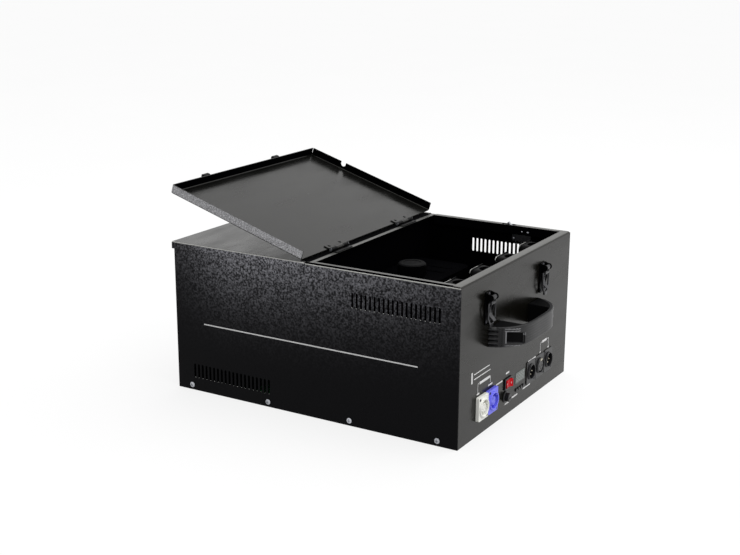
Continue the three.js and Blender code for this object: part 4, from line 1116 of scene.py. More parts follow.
def hinge(label, centre):
    """A butt hinge: rolled knuckles, leaves with round corners, and flat screws."""
    start, end = around(centre, HINGE_HALF)
    knuckle = 2 * HINGE_HALF * KNUCKLE_SHARE
    bands = [(start, start + knuckle), (start + knuckle + GAP, end - knuckle - GAP), (end - knuckle, end)]
    axis = (HINGE_AXIS.x, HINGE_AXIS.z)
    case_leaf = f"hinge_case_leaf_{label}"
    leaf_end = node_box(case_leaf)[1].x
    leaf_z = (HEIGHT + GAP, HEIGHT + GAP + 2 * LEAF_HALF)
    outline = rectangle((axis[0] + 2.7, leaf_end), (start, end), LEAF_CORNER)
    parts = [plate("z", outline, leaf_z, edge=0.2)]
    for band in (bands[0], bands[2]):
        parts.append(collar("y", axis, PIN_BORE, KNUCKLE_RADIUS, band, 0.15, 32))
        parts.append(slab((axis[0] + 0.6, axis[0] + 4), band, leaf_z, 0.1))
    # the fixed leaf takes the shaded copy of the black steel: painted shade
    piece(f"hinge_fixed_{label}", merged(*parts), "case", "black_steel", case_leaf, material="latch_shade_black")

    thick = (-LEAF_HALF, LEAF_HALF)
    leaf = plate("z", rectangle(LID_LEAF, (start, end), LEAF_CORNER), thick, edge=0.2)
    roll = collar("y", (0, 0), PIN_BORE, KNUCKLE_RADIUS, bands[1], 0.15, 32)
    moving = merged(leaf, roll, slab((1.7, 4), bands[1], thick, 0.1))
    lid_leaf = f"hinge_lid_leaf_{label}"
    lid_piece(f"hinge_moving_{label}", moving, "black_steel", lid_leaf, material="lid_paint")

    head = turned("z", (0, 0), [(0, -0.2), (2.2, -0.2), (2.2, 0.15), (1.2, 0.5), (0, 0.6)], 20)
    places = [(LEAF_SCREW[0], -centre - side * LEAF_SCREW[1], LEAF_HALF) for side in (-1, 1)]
    below = moved(copies(head, "+z", places), Matrix.Rotation(math.pi, 4, "X"))
    # the screws take the shaded copy of the black steel: painted shade
    lid_piece(f"hinge_screws_{label}", below, "black_steel", material="latch_shade_black")


# Fittings of the connector panel

POWER_FLANGE = 5.0
POWER_MOUTH = 7.0
POWER_DEPTH = 9.0
POWER_BARREL = 26.0
BLADE_CIRCLE = 3.4
DATA_FLANGE = 1.2
DATA_MOUTH = 3.5
DATA_DEPTH = 8.5
PIN_CIRCLE = 3.8
FLANGE_HALF = (13.0, 15.5)
SOCKET_HOLE = (9.5, 12.0)
SOCKET_HOLE_RADIUS = 1.75
SOCKET_SCREW = (1.7, 0.9)


def flange_holes(centre):
    """The places of a flange's two screws, in opposite corners."""
    return [(centre + side * SOCKET_HOLE[0], SOCKET_Z - side * SOCKET_HOLE[1]) for side in (-1, 1)]


def flange_plate(centre, front, bore, corner, edge):
    """A flange with round corners, two screw holes and the socket's bore."""
    outline = rectangle(around(centre, FLANGE_HALF[0]), around(SOCKET_Z, FLANGE_HALF[1]), corner, 6)
    holes = [ring_points(*hole, SOCKET_HOLE_RADIUS, 16) for hole in flange_holes(centre)]
    holes.append(ring_points(centre, SOCKET_Z, bore, 48))
    return plate("x", outline, (PANEL_FACE, front), holes, edge=edge, steps=2)


def flange_screws(name, centre, thickness):
    """The two screws in opposite corners of a flange."""
    places = [(WALL_X + thickness - 0.4, y, z) for y, z in flange_holes(centre)]
    heads = copies(pan_screw(*SOCKET_SCREW), "+x", places)
    piece(name, heads, "case", "black_steel", material="black_rivet")


def spun(bm, y, z, angle):
    """A drawing turned about +X and set at a place on the end panel."""
    return moved(bm, Matrix.Translation((0, y, z)) @ Matrix.Rotation(angle, 4, "X"))


def power_socket(node, centre, slot, key_turn):
    """A twist-lock mains socket: a thick flange, a round collar, and a hub with three blade slots."""
    place = (centre, SOCKET_Z)
    mouth = WALL_X + POWER_MOUTH
    floor = mouth - POWER_DEPTH
    base = flange_plate(centre, WALL_X + POWER_FLANGE, 9.6, 2.2, 0.5)
    ring = turned("x", place, [
        (9.6, PANEL_FACE + 0.2), (12.6, WALL_X + 4.6), (12.0, WALL_X + 5.4), (12.0, mouth - 0.6),
        (11.6, mouth - 0.1), (10.4, mouth), (9.7, mouth - 0.5),
    ], hollow=True)
    cup = turned("x", place, [
        (0, floor - 2), (11.4, floor - 2), (11.4, floor + 0.5), (9.4, floor + 0.5), (9.4, floor), (0, floor),
    ])
    hub = disc("x", place, 5.6, (floor - 1, mouth - 1.6), 0.5)
    tools = []
    for turn in (90, 210, 330):
        angle = math.radians(turn + key_turn)
        y, z = centre + BLADE_CIRCLE * math.cos(angle), SOCKET_Z + BLADE_CIRCLE * math.sin(angle)
        blade = slab((mouth - 6, mouth), (-1.5, 1.5), (-0.45, 0.45), 0)
        tools.append(spun(blade, y, z, angle + math.pi / 2))
    keys = []
    for turn in (20, 155, 265):
        key = slab((floor + 0.2, mouth - 1), (8.3, 9.8), (-1.1, 1.1), 0.2)
        keys.append(spun(key, centre, SOCKET_Z, math.radians(turn + key_turn)))
    barrel = disc("x", place, 11.4, (WALL_X - POWER_BARREL, floor - 1.5), 0.6)
    whole = merged(base, ring, cup, carved(hub, *tools), barrel, *keys)
    piece(f"{node}_housing", whole, "case", slot, node)
    flange_screws(f"{node}_screws", centre, POWER_FLANGE)


def pin_insert(centre, mouth, back, pins):
    """What a socket with pins holds: a key in its housing, and three round pins."""
    key = slab((back, mouth - 2), around(centre, 1.2), (SOCKET_Z + 8.2, SOCKET_Z + 9.5), 0.2)
    shape = [(0, back - 0.5), (1.2, back - 0.5), (1.2, back + 8.6), (0.5, back + 9.6), (0, back + 9.8)]
    return key, merged(*[turned("x", pin, shape, 20) for pin in pins])


def hole_insert(centre, mouth, back, pins):
    """What a socket with holes holds: a bored face in its housing, a latch tongue and three contacts."""
    face = disc("x", (centre, SOCKET_Z), 7.6, (back - 0.5, mouth - 0.8), 0.5)
    bores = [disc("x", pin, 1.3, (mouth - 9, mouth + 1), SHARP, 20) for pin in pins]
    foot, tip = SOCKET_Z + 7.0, SOCKET_Z + 10.2
    tongue = [(centre - 3.2, foot), (centre + 3.2, foot), (centre + 2.6, tip), (centre - 2.6, tip)]
    sleeves = [collar("x", pin, 0.8, 1.25, (mouth - 3, mouth - 1.4), 0.05, 20) for pin in pins]
    return carved(face, *bores), merged(plate("x", tongue, (mouth - 1.2, mouth + 0.2), edge=0.25), *sleeves)


def data_socket(node, centre, insert):
    """A round data socket on a thin flange: pins in a recess, or holes in a face behind a ring."""
    place = (centre, SOCKET_Z)
    mouth = WALL_X + DATA_MOUTH
    back = WALL_X - DATA_DEPTH
    base = flange_plate(centre, WALL_X + DATA_FLANGE, 9.3, 2.6, 0.2)
    ring = turned("x", place, [
        (9.3, PANEL_FACE), (10.8, WALL_X + 1.9), (10.4, WALL_X + 2.3), (10.4, mouth - 0.5), (10.1, mouth),
        (9.6, mouth), (9.25, mouth - 0.4),
    ], hollow=True)
    shell = turned("x", place, [
        (0, WALL_X - 22), (9.4, WALL_X - 22), (10, WALL_X - 21), (10, WALL_X - 0.5), (9.3, WALL_X - 0.5),
        (9.3, back), (0, back),
    ])
    turns = (0, math.pi / 2, math.pi)
    pins = [(centre + PIN_CIRCLE * math.cos(a), SOCKET_Z - PIN_CIRCLE * math.sin(a)) for a in turns]
    inner, contacts = insert(centre, mouth, back, pins)
    made = piece(f"{node}_housing", merged(base, ring, shell, inner), "case", "black_plastic", node)

    # the flange's sides, which lie in shade, are painted paler: painted light
    def finish(at, normal):
        away = max(abs(at.y - centre), abs(at.z - SOCKET_Z))
        return PANEL_FACE < at.x < WALL_X + 1.15 and away > 12 and abs(normal.x) < 0.5 and "flange_side_light"

    repaint(made, finish, "flange_side_light")
    piece(f"{node}_contacts", contacts, "case", "zinc", material="contact_metal")
    flange_screws(f"{node}_screws", centre, DATA_FLANGE)


FITTING_RIM = 2.0
BEZEL_HALF = (10.5, 7.5)
POCKET_HALF = (8.4, 5.4)
SWITCH_BODY_HALF = (9.5, 6.5)
SWITCH_DEPTH = 16.0
ROCKER_TILT = math.radians(-8)
ROCKER_HALF = 7.2
ROCKER_CREST = 6.2
ROCKER_WAIST = 4.0


def switch_frame():
    """The mains switch's bezel and the pocket that its rocker sits in."""
    pocket_y, pocket_z = around(SWITCH_Y, POCKET_HALF[0]), around(SWITCH_Z, POCKET_HALF[1])
    body_y, body_z = around(SWITCH_Y, SWITCH_BODY_HALF[0]), around(SWITCH_Z, SWITCH_BODY_HALF[1])
    outline = rectangle(around(SWITCH_Y, BEZEL_HALF[0]), around(SWITCH_Z, BEZEL_HALF[1]), 1.4)
    mouth = rectangle(pocket_y, pocket_z, 0.5)
    rim = plate("x", outline, (PANEL_FACE, WALL_X + FITTING_RIM), [mouth], edge=0.5, steps=2)
    body = slab((WALL_X - SWITCH_DEPTH, WALL_X + 0.6), body_y, body_z, 0.3)
    pocket = slab((WALL_X - 13.9, WALL_X + 4), pocket_y, pocket_z, 0)
    piece("switch_frame", merged(rim, carved(body, pocket)), "case", "black_plastic", "switch_bezel")


def rocker_face(share):
    """How far the rocker's dished face stands off its pivot, at a share of the way to its end."""
    return ROCKER_WAIST + (ROCKER_CREST - ROCKER_WAIST) * share ** 2


def rocker():
    """The mains switch's rocker, with the two usual marks."""
    half, crest = ROCKER_HALF, ROCKER_CREST
    outline = [(0, -half), (crest - 0.5, -half), (crest, -half + 0.5)]
    outline += [(rocker_face(k / 6), k / 6 * (half - 0.5)) for k in range(-5, 6)]
    outline += [(crest, half - 0.5), (crest - 0.5, half), (0, half), (-3, 0)]
    turn = Matrix.Translation((WALL_X - 2, SWITCH_Y, 0)) @ Matrix.Rotation(ROCKER_TILT, 4, "Z")
    key = plate("z", outline, around(SWITCH_Z, 5.1), edge=0.35, steps=2)
    piece("switch_key", moved(key, turn), "rocker", "red_plastic", "switch_rocker")
    bar_x = (rocker_face(0.7) - 0.1, rocker_face(0.7) + 0.2)
    ring_x = (rocker_face(0.5) - 0.2, rocker_face(0.76) + 0.05)
    bar = slab(bar_x, around(-0.65 * half, 0.22), around(SWITCH_Z, 1.1), 0.05)
    ring = collar("x", (0.65 * half, SWITCH_Z), 0.75, 1.15, ring_x, 0.04, 24)
    piece("switch_marks", moved(merged(bar, ring), turn), "rocker", "red_plastic", material="print_white")


FUSE_CAP = 7.0
FUSE_BORE = 3.9
FUSE_RIM = 7.6
FUSE_DEPTH = 30.0
FUSE_RIBS = 18
RIB_TOP = 5.6
RIB_FOOT = 5.1


def fuse():
    """A round holder behind its rim, and a ribbed cap with a coin slot."""
    place = (FUSE_Y, FUSE_Z)
    front = WALL_X + FITTING_RIM
    rim = turned("x", place, [
        (FUSE_BORE, PANEL_FACE), (FUSE_RIM, PANEL_FACE), (FUSE_RIM, front - 0.7), (7.0, front), (4.1, front),
        (FUSE_BORE, front - 0.2),
    ], hollow=True)
    barrel = turned("x", place, [
        (FUSE_BORE, WALL_X - 14.6), (FUSE_BORE, WALL_X + 0.2), (6, WALL_X + 0.2),
        (6, WALL_X - FUSE_DEPTH + 1), (5, WALL_X - FUSE_DEPTH), (0, WALL_X - FUSE_DEPTH),
    ])
    piece("fuse_socket", merged(rim, barrel), "case", "black_plastic", "fuse_holder")
    top = WALL_X + FUSE_CAP
    back = front + GAP
    outline = []
    for i in range(FUSE_RIBS):
        angle = 360 * i / FUSE_RIBS
        outline += arc(*place, RIB_TOP, angle, angle + 11, 2)
        outline += arc(*place, RIB_FOOT, angle + 13, angle + 18, 1)
    grip = plate("x", outline, (back, top - 0.8), edge=0.15)
    crown = turned("x", place, [
        (0, top - 1.2), (RIB_FOOT, top - 1.2), (RIB_FOOT, top - 0.6), (4.5, top), (0, top),
    ])
    shank = disc("x", place, 3.6, (back - 16, back + 0.5), 0.3)
    coin = slab((top - 1.4, top + 1), around(FUSE_Y, 3.6), around(FUSE_Z, 0.7), 0)
    cap = merged(grip, carved(crown, coin), shank)
    piece("fuse_knob", cap, "fuse_plug", "black_plastic", "fuse_cap")


# A digit's seven bars: across and up from its middle in half sizes, and whether the bar lies flat
SEGMENTS = (
    (0, 1, True), (1, 0.5, False), (1, -0.5, False), (0, -1, True), (-1, -0.5, False), (-1, 0.5, False),
    (0, 0, True),
)
DIGIT_PITCH = 6.2
DIGIT_HALF = (1.9, 2.1)
SEGMENT_HALF = 0.36


def display():
    """A board behind the panel, a window, and four unlit seven-segment digits."""
    back = WALL_X - 9.5
    board_z = (BUTTON_Z - 5.2, DISPLAY_Z + 10)
    board = slab((back, WALL_X - SHEET - GAP), around(DISPLAY_Y, 17), board_z, 0.3)
    bores = [disc("x", (y, BUTTON_Z), 1.7, (back + 1.5, WALL_X), SHARP, 20) for y in BUTTON_Y]
    window = slab((WALL_X - 3, WALL_X + 0.5), around(DISPLAY_Y, 14), around(DISPLAY_Z, 7), 0.3)
    glass = merged(carved(board, *bores), window)
    piece("display_window", glass, "case", "display_window", "display_module")
    digits = []
    half_y, half_z = DIGIT_HALF
    thick = (WALL_X + 0.45, WALL_X + 0.6)
    for i in range(4):
        for across, up, flat in SEGMENTS:
            y = DISPLAY_Y + (i - 1.5) * DIGIT_PITCH + across * half_y
            z = DISPLAY_Z + up * 2 * half_z
            reach = (half_y - 0.5, SEGMENT_HALF) if flat else (SEGMENT_HALF, half_z - 0.4)
            digits.append(slab(thick, around(y, reach[0]), around(z, reach[1]), 0.05, 1))
    piece("display_digits", merged(*digits), "case", "display_window", material="digit_grey")


def buttons():
    """Four round keys with a dished top."""
    top = WALL_X + 1.6
    shape = [
        (0, WALL_X - 5.4), (1.3, WALL_X - 5.4), (1.3, WALL_X - 0.4), (2.2, WALL_X - 0.4), (2.2, top - 0.4),
        (1.9, top - 0.05), (1.4, top), (0.7, top - 0.12), (0, top - 0.16),
    ]
    for number, y in enumerate(BUTTON_Y, 1):
        key = turned("x", (y, BUTTON_Z), shape, 28)
        piece(f"menu_key_{number}", key, f"button_{number}", "black_plastic", f"menu_button_{number}")


# Printed marks: plain rules and bars where the real machine has lettering

PRINT = 0.12
FRONT_RULE = ((-163.3, 153.9), (93.6, 95.2))
SIDE_BARS = [
    ((-113.0, -106.5), (53.6, 55.6)), ((-111.2, -110.5), (55.6, 67.8)), ((-111.2, -107.5), (67.1, 67.8)),
    ((-106.0, -77.6), (65.4, 68.8)), ((-76.7, -76.0), (59.4, 67.8)), ((-82.0, -70.5), (55.4, 57.4)),
    ((-59.0, -41.0), (48.8, 50.6)), ((-31.4, -21.5), (54.8, 57.2)), ((-31.5, -19.5), (14.2, 16.2)),
    ((-11.0, 5.5), (16.5, 18.3)), ((22.5, 45.5), (17.8, 19.6)), ((37.0, 61.5), (50.2, 52.4)),
    ((74.8, 75.5), (54.5, 66.8)), ((74.8, 80.0), (66.1, 66.8)), ((81.0, 95.5), (64.8, 68.0)),
    ((96.5, 101.9), (66.1, 66.8)), ((101.2, 101.9), (54.5, 66.8)), ((73.4, 77.0), (52.6, 54.5)),
    ((99.6, 103.4), (52.6, 54.5)), ((-122.0, -79.0), (81.9, 83.1)), ((-122.0, -77.0), (75.7, 76.9)),
    ((-129.0, -125.6), (72.5, 86.5)),
]


def prints():
    """The long rule on the front panel and the bars beside the fittings."""
    rule = slab(FRONT_RULE[0], (-WALL_Y - PRINT, -WALL_Y + 0.05), FRONT_RULE[1], 0.04, 1)
    piece("front_rule", rule, "case", "black_paint", material="print_white")
    bars = [slab((WALL_X - 0.05, WALL_X + PRINT), y, z, 0.04, 1) for y, z in SIDE_BARS]
    piece("side_bars", merged(*bars), "case", "black_paint", material="print_white")


# Inside the bay

NECK = (55.0, 0.0)
NECK_BORE = 12.5
TANK_WALL = 2.0
TANK_CORNER = 12.0
TANK_RIB_Y = (-70, -48, 48, 70)
SPOUT = (40.0, 0.0)
SPOUT_RADIUS = 5.0
SPOUT_LENGTH = 10.0
CAP_RADIUS = 19.0
CAP_TEETH = 60
CAP_TOOTH = 0.6


def tank():
    """A moulded tank: a tub with round edges, and a top with a raised neck and four ribs."""
    low, high = node_box("fuel_tank")
    x, y = (low.x, high.x), (low.y, high.y)
    outline = rectangle(x, y, TANK_CORNER, 10)
    floor = low.z + SPOUT_LENGTH
    tub = plate("z", outline, (floor, high.z), edge=2.5, steps=4)
    inside = rectangle((x[0] + TANK_WALL, x[1] - TANK_WALL), (y[0] + TANK_WALL, y[1] - TANK_WALL), 10, 10)
    hollow = plate("z", inside, (floor + TANK_WALL, high.z + 4), edge=1)
    spout = disc("z", SPOUT, SPOUT_RADIUS, (low.z, floor + 1), 0.5)
    # the tank is near black as painted shade of the bay
    piece("tank_tub", merged(carved(tub, hollow), spout), "case", "tank_plastic", "fuel_tank")

    low, high = node_box("tank_top")
    roof = low.z + TANK_WALL
    sheet_piece = plate("z", outline, (low.z, roof), [ring_points(*NECK, 13, 48)], edge=0.9, steps=4)
    neck = turned("z", NECK, [
        (NECK_BORE, low.z + 0.1), (17, roof - 0.1), (15.8, roof + 1.2), (15.2, roof + 2.5),
        (15.2, high.z - 0.6), (14.7, high.z), (12.9, high.z), (NECK_BORE, high.z - 0.5),
    ], hollow=True)
    rib_x, rib_z = (x[0] + 14, x[1] - 14), (roof - 0.4, roof + 0.8)
    ribs = [slab(rib_x, around(place, 3), rib_z, 0.5, 2) for place in TANK_RIB_Y]
    # the tank's top is near black as painted shade of the bay
    piece("tank_roof", merged(sheet_piece, neck, *ribs), "case", "tank_plastic", "tank_top")


def filler_cap():
    """The tank's screw cap: a knurled skirt and a crown with a shallow dish."""
    low, high = node_box("tank_cap")
    knurl = []
    for k in range(2 * CAP_TEETH):
        radius = CAP_RADIUS - CAP_TOOTH * (k % 2)
        angle = math.pi * k / CAP_TEETH
        knurl.append((NECK[0] + radius * math.cos(angle), NECK[1] + radius * math.sin(angle)))
    skirt = plate("z", knurl, (low.z, high.z - 3.5), [ring_points(*NECK, 15.6, 48)], edge=0.2)
    crown = turned("z", NECK, [
        (0, high.z - 4), (18.2, high.z - 4), (18.4, high.z - 1.6), (17, high.z - 0.3), (15, high.z),
        (12, high.z), (11.4, high.z - 0.7), (0, high.z - 0.9),
    ], 64)
    # the cap is near black as painted shade of the bay
    piece("filler_cap_turned", merged(skirt, crown), "filler_cap", "cap_metal", "tank_cap")


HEAD_Y = [-108.0, -36.0, 36.0, 108.0]
BORE_X = WALL_X - 26.5
BORE_RADIUS = 11.0
HEAD_TOP = 190.4
HEAD_HALF = 17.5
HEAD_SHOULDER = 7.0
RIM_HALF = 19.5
RIM_SHOULDER = 4.5
RIM_SHEET = 1.0
RIM_PROUD = 3.4
ELECTRODE_SIDE = 8.6


def head_profile(centre, foot, half, top, radius):
    """An arch with two round shoulders across the head, in Y and Z."""
    near, far = centre - half, centre + half
    return [
        (near, foot), (far, foot), *arc(far - radius, top - radius, radius, 0, 90, 10), (centre + 3, top),
        *arc(near + radius, top - radius, radius, 90, 180, 10),
    ]


def burner(number, centre):
    """A burner: an arched housing with a deep bore, and a thin rim on its inner side whose upward, forward
    faces get a painted highlight.
    """
    low, high = node_box(f"burner_head_{number}")
    place = (BORE_X, centre)
    start = low.x - RIM_PROUD
    arch = head_profile(centre, low.z, HEAD_HALF, HEAD_TOP - 1, HEAD_SHOULDER)
    body = plate("x", arch, (start + 0.8, high.x), edge=0.4, steps=2)
    rim = head_profile(centre, low.z, RIM_HALF, HEAD_TOP, RIM_SHOULDER)
    front = plate("x", rim, (start, start + RIM_SHEET), edge=0.15)
    bore = disc("z", place, BORE_RADIUS, (low.z + 8, high.z + 4), SHARP)
    floor_hole = disc("z", place, 3.7, (low.z - 2, low.z + 10), SHARP, 24)
    housing = merged(carved(body, bore, floor_hole), front)
    made = piece(f"burner_housing_{number}", housing, "case", "burner_black", f"burner_head_{number}")

    # the rim's upward, forward faces get a painted highlight
    def finish(at, normal):
        lit_rim = at.x < start + RIM_SHEET + 0.1 and at.z > HEAD_TOP - 11 and at.y < centre + 3
        return lit_rim and normal.dot(Vector((0, -0.5, 0.8))) > 0.3 and "burner_rim_highlight"

    repaint(made, finish, "burner_rim_highlight")
    nozzle(number, place)
    electrodes(number, centre, low.z, high.z)


def nozzle(number, place):
    """A brass nozzle: its stem, its nut and its turned tip."""
    low, high = node_box(f"burner_nozzle_{number}")
    stem = disc("z", place, 3.4, (low.z, high.z - 7), 0.3, 24)
    nut = plate("z", ring_points(*place, 5, 6), (high.z - 9, high.z - 3), edge=0.4, steps=2)
    tip = turned("z", place, [
        (1.0, high.z - 4), (4.2, high.z - 3.4), (3.4, high.z - 0.6), (2.4, high.z), (1.0, high.z),
    ], 32, hollow=True)
    piece(f"nozzle_turned_{number}", merged(stem, nut, tip), "case", "brass", f"burner_nozzle_{number}")


def electrodes(number, centre, foot, top):
    """The two ignition electrodes, bent towards each other over the nozzle, each in its ceramic."""
    rods = []
    x = BORE_X - 2
    for side in (-1, 1):
        y = centre + side * ELECTRODE_SIDE
        path = [(x, y, foot + 9), (x, y, top - 18), (BORE_X, centre + side * 2.2, top - 13)]
        rods.append(tube(eased(path, 3), 0.8, 10))
        rods.append(disc("z", (x, y), 1.9, (foot + 7.5, foot + 24), 0.4, 20))
    piece(f"electrodes_{number}", merged(*rods), "case", "zinc", material="ceramic")


def valves():
    """The manifold with its four solenoid coils, end caps and union nut."""
    low, high = node_box("valve_block")
    block_z = (low.z + 14, high.z)
    inner = BORE_X - 12
    middle = sum(block_z) / 2
    bar = slab((inner, high.x), (low.y, high.y), block_z, 0.8)
    foot_z = (low.z, block_z[0] + 0.5)
    feet = [slab((inner, high.x), around(y, 7), foot_z, 0.5) for y in (HEAD_Y[0], HEAD_Y[-1])]
    union = plate("x", ring_points(0, middle, 4.2, 6), (inner - 4.5, inner + 0.5), edge=0.4)
    stub = disc("x", (0, middle), 3.4, (inner - 8, inner), 0.3, 24)
    piece("valve_manifold", merged(bar, union, stub, *feet), "case", "aluminium", "valve_block")
    coils, nuts = [], []
    coil = [
        (0, low.x + 1.5), (9, low.x + 1.5), (10, low.x + 2.5), (10, low.x + 5), (9.4, low.x + 5.6),
        (9.4, inner - 4), (10, inner - 3.4), (10, inner - 0.8), (9, inner), (0, inner),
    ]
    for y in HEAD_Y:
        coils.append(turned("x", (y, middle), coil))
        coils.append(slab((low.x + 5, inner - 4), around(y, 4), (middle + 8.5, middle + 10), 0.4))
        nuts.append(plate("x", ring_points(y, middle, 4, 6), (low.x, low.x + 1.8), edge=0.3))
    piece("valve_coils", merged(*coils), "case", "aluminium", "valve_block", material="black_plastic")
    piece("valve_nuts", merged(*nuts), "case", "aluminium", "valve_block", material="zinc")


ARM_REACH = 10.0
ARM_TILT = math.radians(32)
TERMINAL_X = (131, 140, 149)


def lid_switch():
    """The microswitch behind the rear rim: its body, three terminals and three screws."""
    low, high = node_box("lid_switch_body")
    body_top = high.z - 4.4
    body = slab((low.x, high.x), (low.y, high.y), (low.z, body_top), 0.5)
    ear_x = (low.x, low.x + 2 * SWITCH_EYE)
    ears = [slab(ear_x, (y, y + 0.9), (body_top - 1, high.z), 0.3) for y in (low.y, high.y - 0.9)]
    pivot = (low.x + SWITCH_EYE, body_top + 2.5)
    pin = disc("y", pivot, 0.8, (low.y, high.y), 0.1, 16)
    piece("microswitch", merged(body, pin, *ears), "case", "black_plastic", "lid_switch_body")
    blade_y, blade_z = (low.y + 1.6, low.y + 4.8), (low.z - 5, low.z + 0.5)
    blades = [slab((x, x + 0.8), blade_y, blade_z, 0.1) for x in TERMINAL_X]
    face = low.y - 1.3
    heads = [copies(pan_screw(1.2, 0.8), "-y", [(142, face, 192.3), (130, face, 182)])]
    heads.append(copies(pan_screw(1.9, 1.0), "-y", [(150.6, face, 191.7)]))
    piece("microswitch_fittings", merged(*heads, *blades), "case", "zinc")
    switch_arm(pivot)


def switch_arm(pivot):
    """The lid switch's sprung arm: a blade with an eye, a roller and a bent tail."""
    low, high = node_box("lid_switch_arm")
    tilt = Matrix.Translation((pivot[0], 0, pivot[1])) @ Matrix.Rotation(ARM_TILT, 4, "Y")
    y = (low.y, high.y)
    blade = slab((-ARM_REACH, -1.4), y, (-0.4, 0.4), 0.15)
    eye = collar("y", (0, 0), 1.1, 1.9, y, 0.15, 24)
    roller = disc("y", (-ARM_REACH, 0), 1.5, y, 0.3, 28)
    node = "lid_switch_arm"
    piece("microswitch_arm", moved(merged(blade, eye, roller), tilt), "switch_arm", "zinc", node)
    tail = plate("y", [(-9.6, 0.2), (-14.8, -6.5), (-14.0, -6.5), (-9.0, -0.4)], y, edge=0.1)
    # the tail, which lies in shade, takes the shaded copy of the black steel: painted shade
    piece("microswitch_tail", moved(tail, tilt), "switch_arm", "zinc", node, material="latch_shade_black")


# Camera, light and floor


def make_camera():
    """The photograph's camera, without shift or depth of field."""
    data = bpy.data.cameras.new("camera")
    data.lens = LENS
    data.sensor_width = SENSOR
    camera = linked("camera", data)
    turn = CAMERA_FORWARD.to_track_quat("-Z", "Y").to_matrix().to_4x4()
    roll = Matrix.Rotation(CAMERA_ROLL, 4, "Z")
    camera.matrix_world = Matrix.Translation(CAMERA_PLACE * MM) @ turn @ roll
    bpy.context.scene.camera = camera


# The studio's light, by how far a direction points the way the light comes from
LIGHT_FROM = Vector((0.62, 0.3, 0.72))
DARK_FROM = -0.45
BRIGHT_FROM = 0.7
DARK_SIDE = 0.22
BRIGHT_SIDE = 1.6
WHITE = (1, 1, 1, 1)
LAMP_PLACE = (0.3, 0.6, 2.2)
LAMP_TARGET = (0, 0, 0.1)
LAMP_SIZE = 2.2
LAMP_POWER = 28


def shown_rays(g):
    """1 for the rays that look at the background: camera, glossy and transmission rays."""
    rays = g.node("ShaderNodeLightPath").outputs
    total = rays["Is Camera Ray"]
    for name in ("Is Glossy Ray", "Is Transmission Ray"):
        total = g.math("MAXIMUM", total, rays[name])
    return total


def make_world():
    """A pale studio, bright behind and above the object and dark in front; white to the camera."""
    world = bpy.data.worlds.new("studio")
    bpy.context.scene.world = world
    g = Graph(world, "ShaderNodeOutputWorld")
    ways = {0: g.coordinates["Generated"], 1: LIGHT_FROM}
    along = g.node("ShaderNodeVectorMath", ways, operation="DOT_PRODUCT").outputs["Value"]
    range_ends = (DARK_FROM, BRIGHT_FROM, DARK_SIDE, BRIGHT_SIDE)
    strength = g.ramp(along, *range_ends, interpolation_type="SMOOTHSTEP")
    studio = g.node("ShaderNodeBackground", {"Strength": strength}).outputs[0]
    white = g.node("ShaderNodeBackground", {"Color": WHITE, "Strength": 1}).outputs[0]
    g.show(g.node("ShaderNodeMixShader", {0: shown_rays(g), 1: studio, 2: white}))


def area_light(name, place, target, size, power):
    """A round lamp at a place in metres, aimed at a target."""
    data = bpy.data.lights.new(name, "AREA")
    data.shape = "DISK"
    data.size = size
    data.energy = power
    lamp = linked(name, data)
    direction = Vector(target) - Vector(place)
    turn = direction.to_track_quat("-Z", "Y").to_matrix().to_4x4()
    lamp.matrix_world = Matrix.Translation(place) @ turn


FLOOR_HALF = 30.0
FLOOR_WHITE_SHARE = 0.8


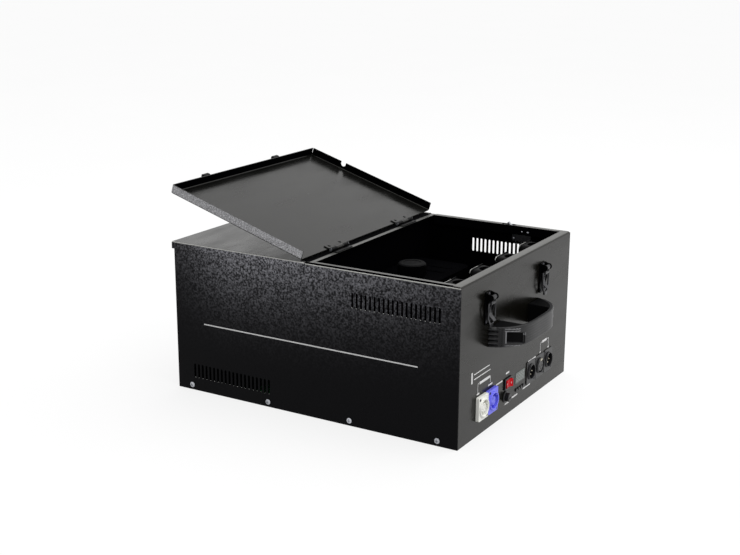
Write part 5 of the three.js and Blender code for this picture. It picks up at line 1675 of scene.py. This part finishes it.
def make_floor():
    """A pale floor that is white to the camera, apart from the object's soft shadow."""
    mesh = bpy.data.meshes.new("floor")
    corners = [(x, y, 0) for x, y in rectangle((-FLOOR_HALF, FLOOR_HALF), (-FLOOR_HALF, FLOOR_HALF))]
    mesh.from_pydata(corners, [], [(0, 1, 2, 3)])
    floor = linked("floor", mesh)
    material = bpy.data.materials.new("floor")
    g = Graph(material)
    pale = g.mix(g.ramp(g.noise(3, 2), 0.3, 0.7), (0.80, 0.80, 0.80, 1), (0.78, 0.78, 0.78, 1))
    seen = g.node("ShaderNodeBsdfDiffuse", {"Color": pale}).outputs[0]
    grey = g.node("ShaderNodeBsdfDiffuse", {"Color": (0.32, 0.32, 0.32, 1)}).outputs[0]
    white = g.node("ShaderNodeEmission", {"Color": WHITE, "Strength": 1.0}).outputs[0]
    shown = g.node("ShaderNodeMixShader", {0: FLOOR_WHITE_SHARE, 1: seen, 2: white}).outputs[0]
    g.show(g.node("ShaderNodeMixShader", {0: shown_rays(g), 1: grey, 2: shown}))
    mesh.materials.append(material)


bpy.context.scene.view_settings.view_transform = "Standard"
make_camera()
make_world()
area_light("top_light", LAMP_PLACE, LAMP_TARGET, LAMP_SIZE, LAMP_POWER)
make_floor()
dress_nodes()

long_panel("front_panel_plate", "front_panel", [BAY_VENT, CASE_VENT], 1)
long_panel("rear_panel_plate", "rear_panel", [REAR_VENT], -1)
panel_screws("front_screws", "-y", -WALL_Y)
panel_screws("rear_screws", "+y", WALL_Y)
top_cover()
side_panel()
left_panel()
partition()
rims()
lid_shell()
handle("right_handle", "carry_handle_right", 0)
handle("left_handle", "carry_handle_left", math.pi)
for label in ("front", "rear"):
    plate_low, plate_high = node_box(f"latch_base_{label}")
    latch_centre = (plate_low.y + plate_high.y) / 2
    latch_base(label, latch_centre)
    latch_lever(label, latch_centre)
    latch_bail(label, latch_centre)
    keeper(label, latch_centre)
    pin_low, pin_high = node_box(f"hinge_pin_{label}")
    hinge(label, (pin_low.y + pin_high.y) / 2)
power_socket("power_outlet", POWER_Y[0], "white_plastic", 0)
power_socket("power_inlet", POWER_Y[1], "blue_plastic", 25)
for name, place, insert in zip(
    ("remote_socket", "dmx_out_socket", "dmx_in_socket"), DATA_Y, (pin_insert, hole_insert, pin_insert),
):
    data_socket(name, place, insert)
switch_frame()
rocker()
fuse()
display()
buttons()
prints()
tank()
filler_cap()
for index, place in enumerate(HEAD_Y):
    burner(index + 1, place)
valves()
lid_switch()
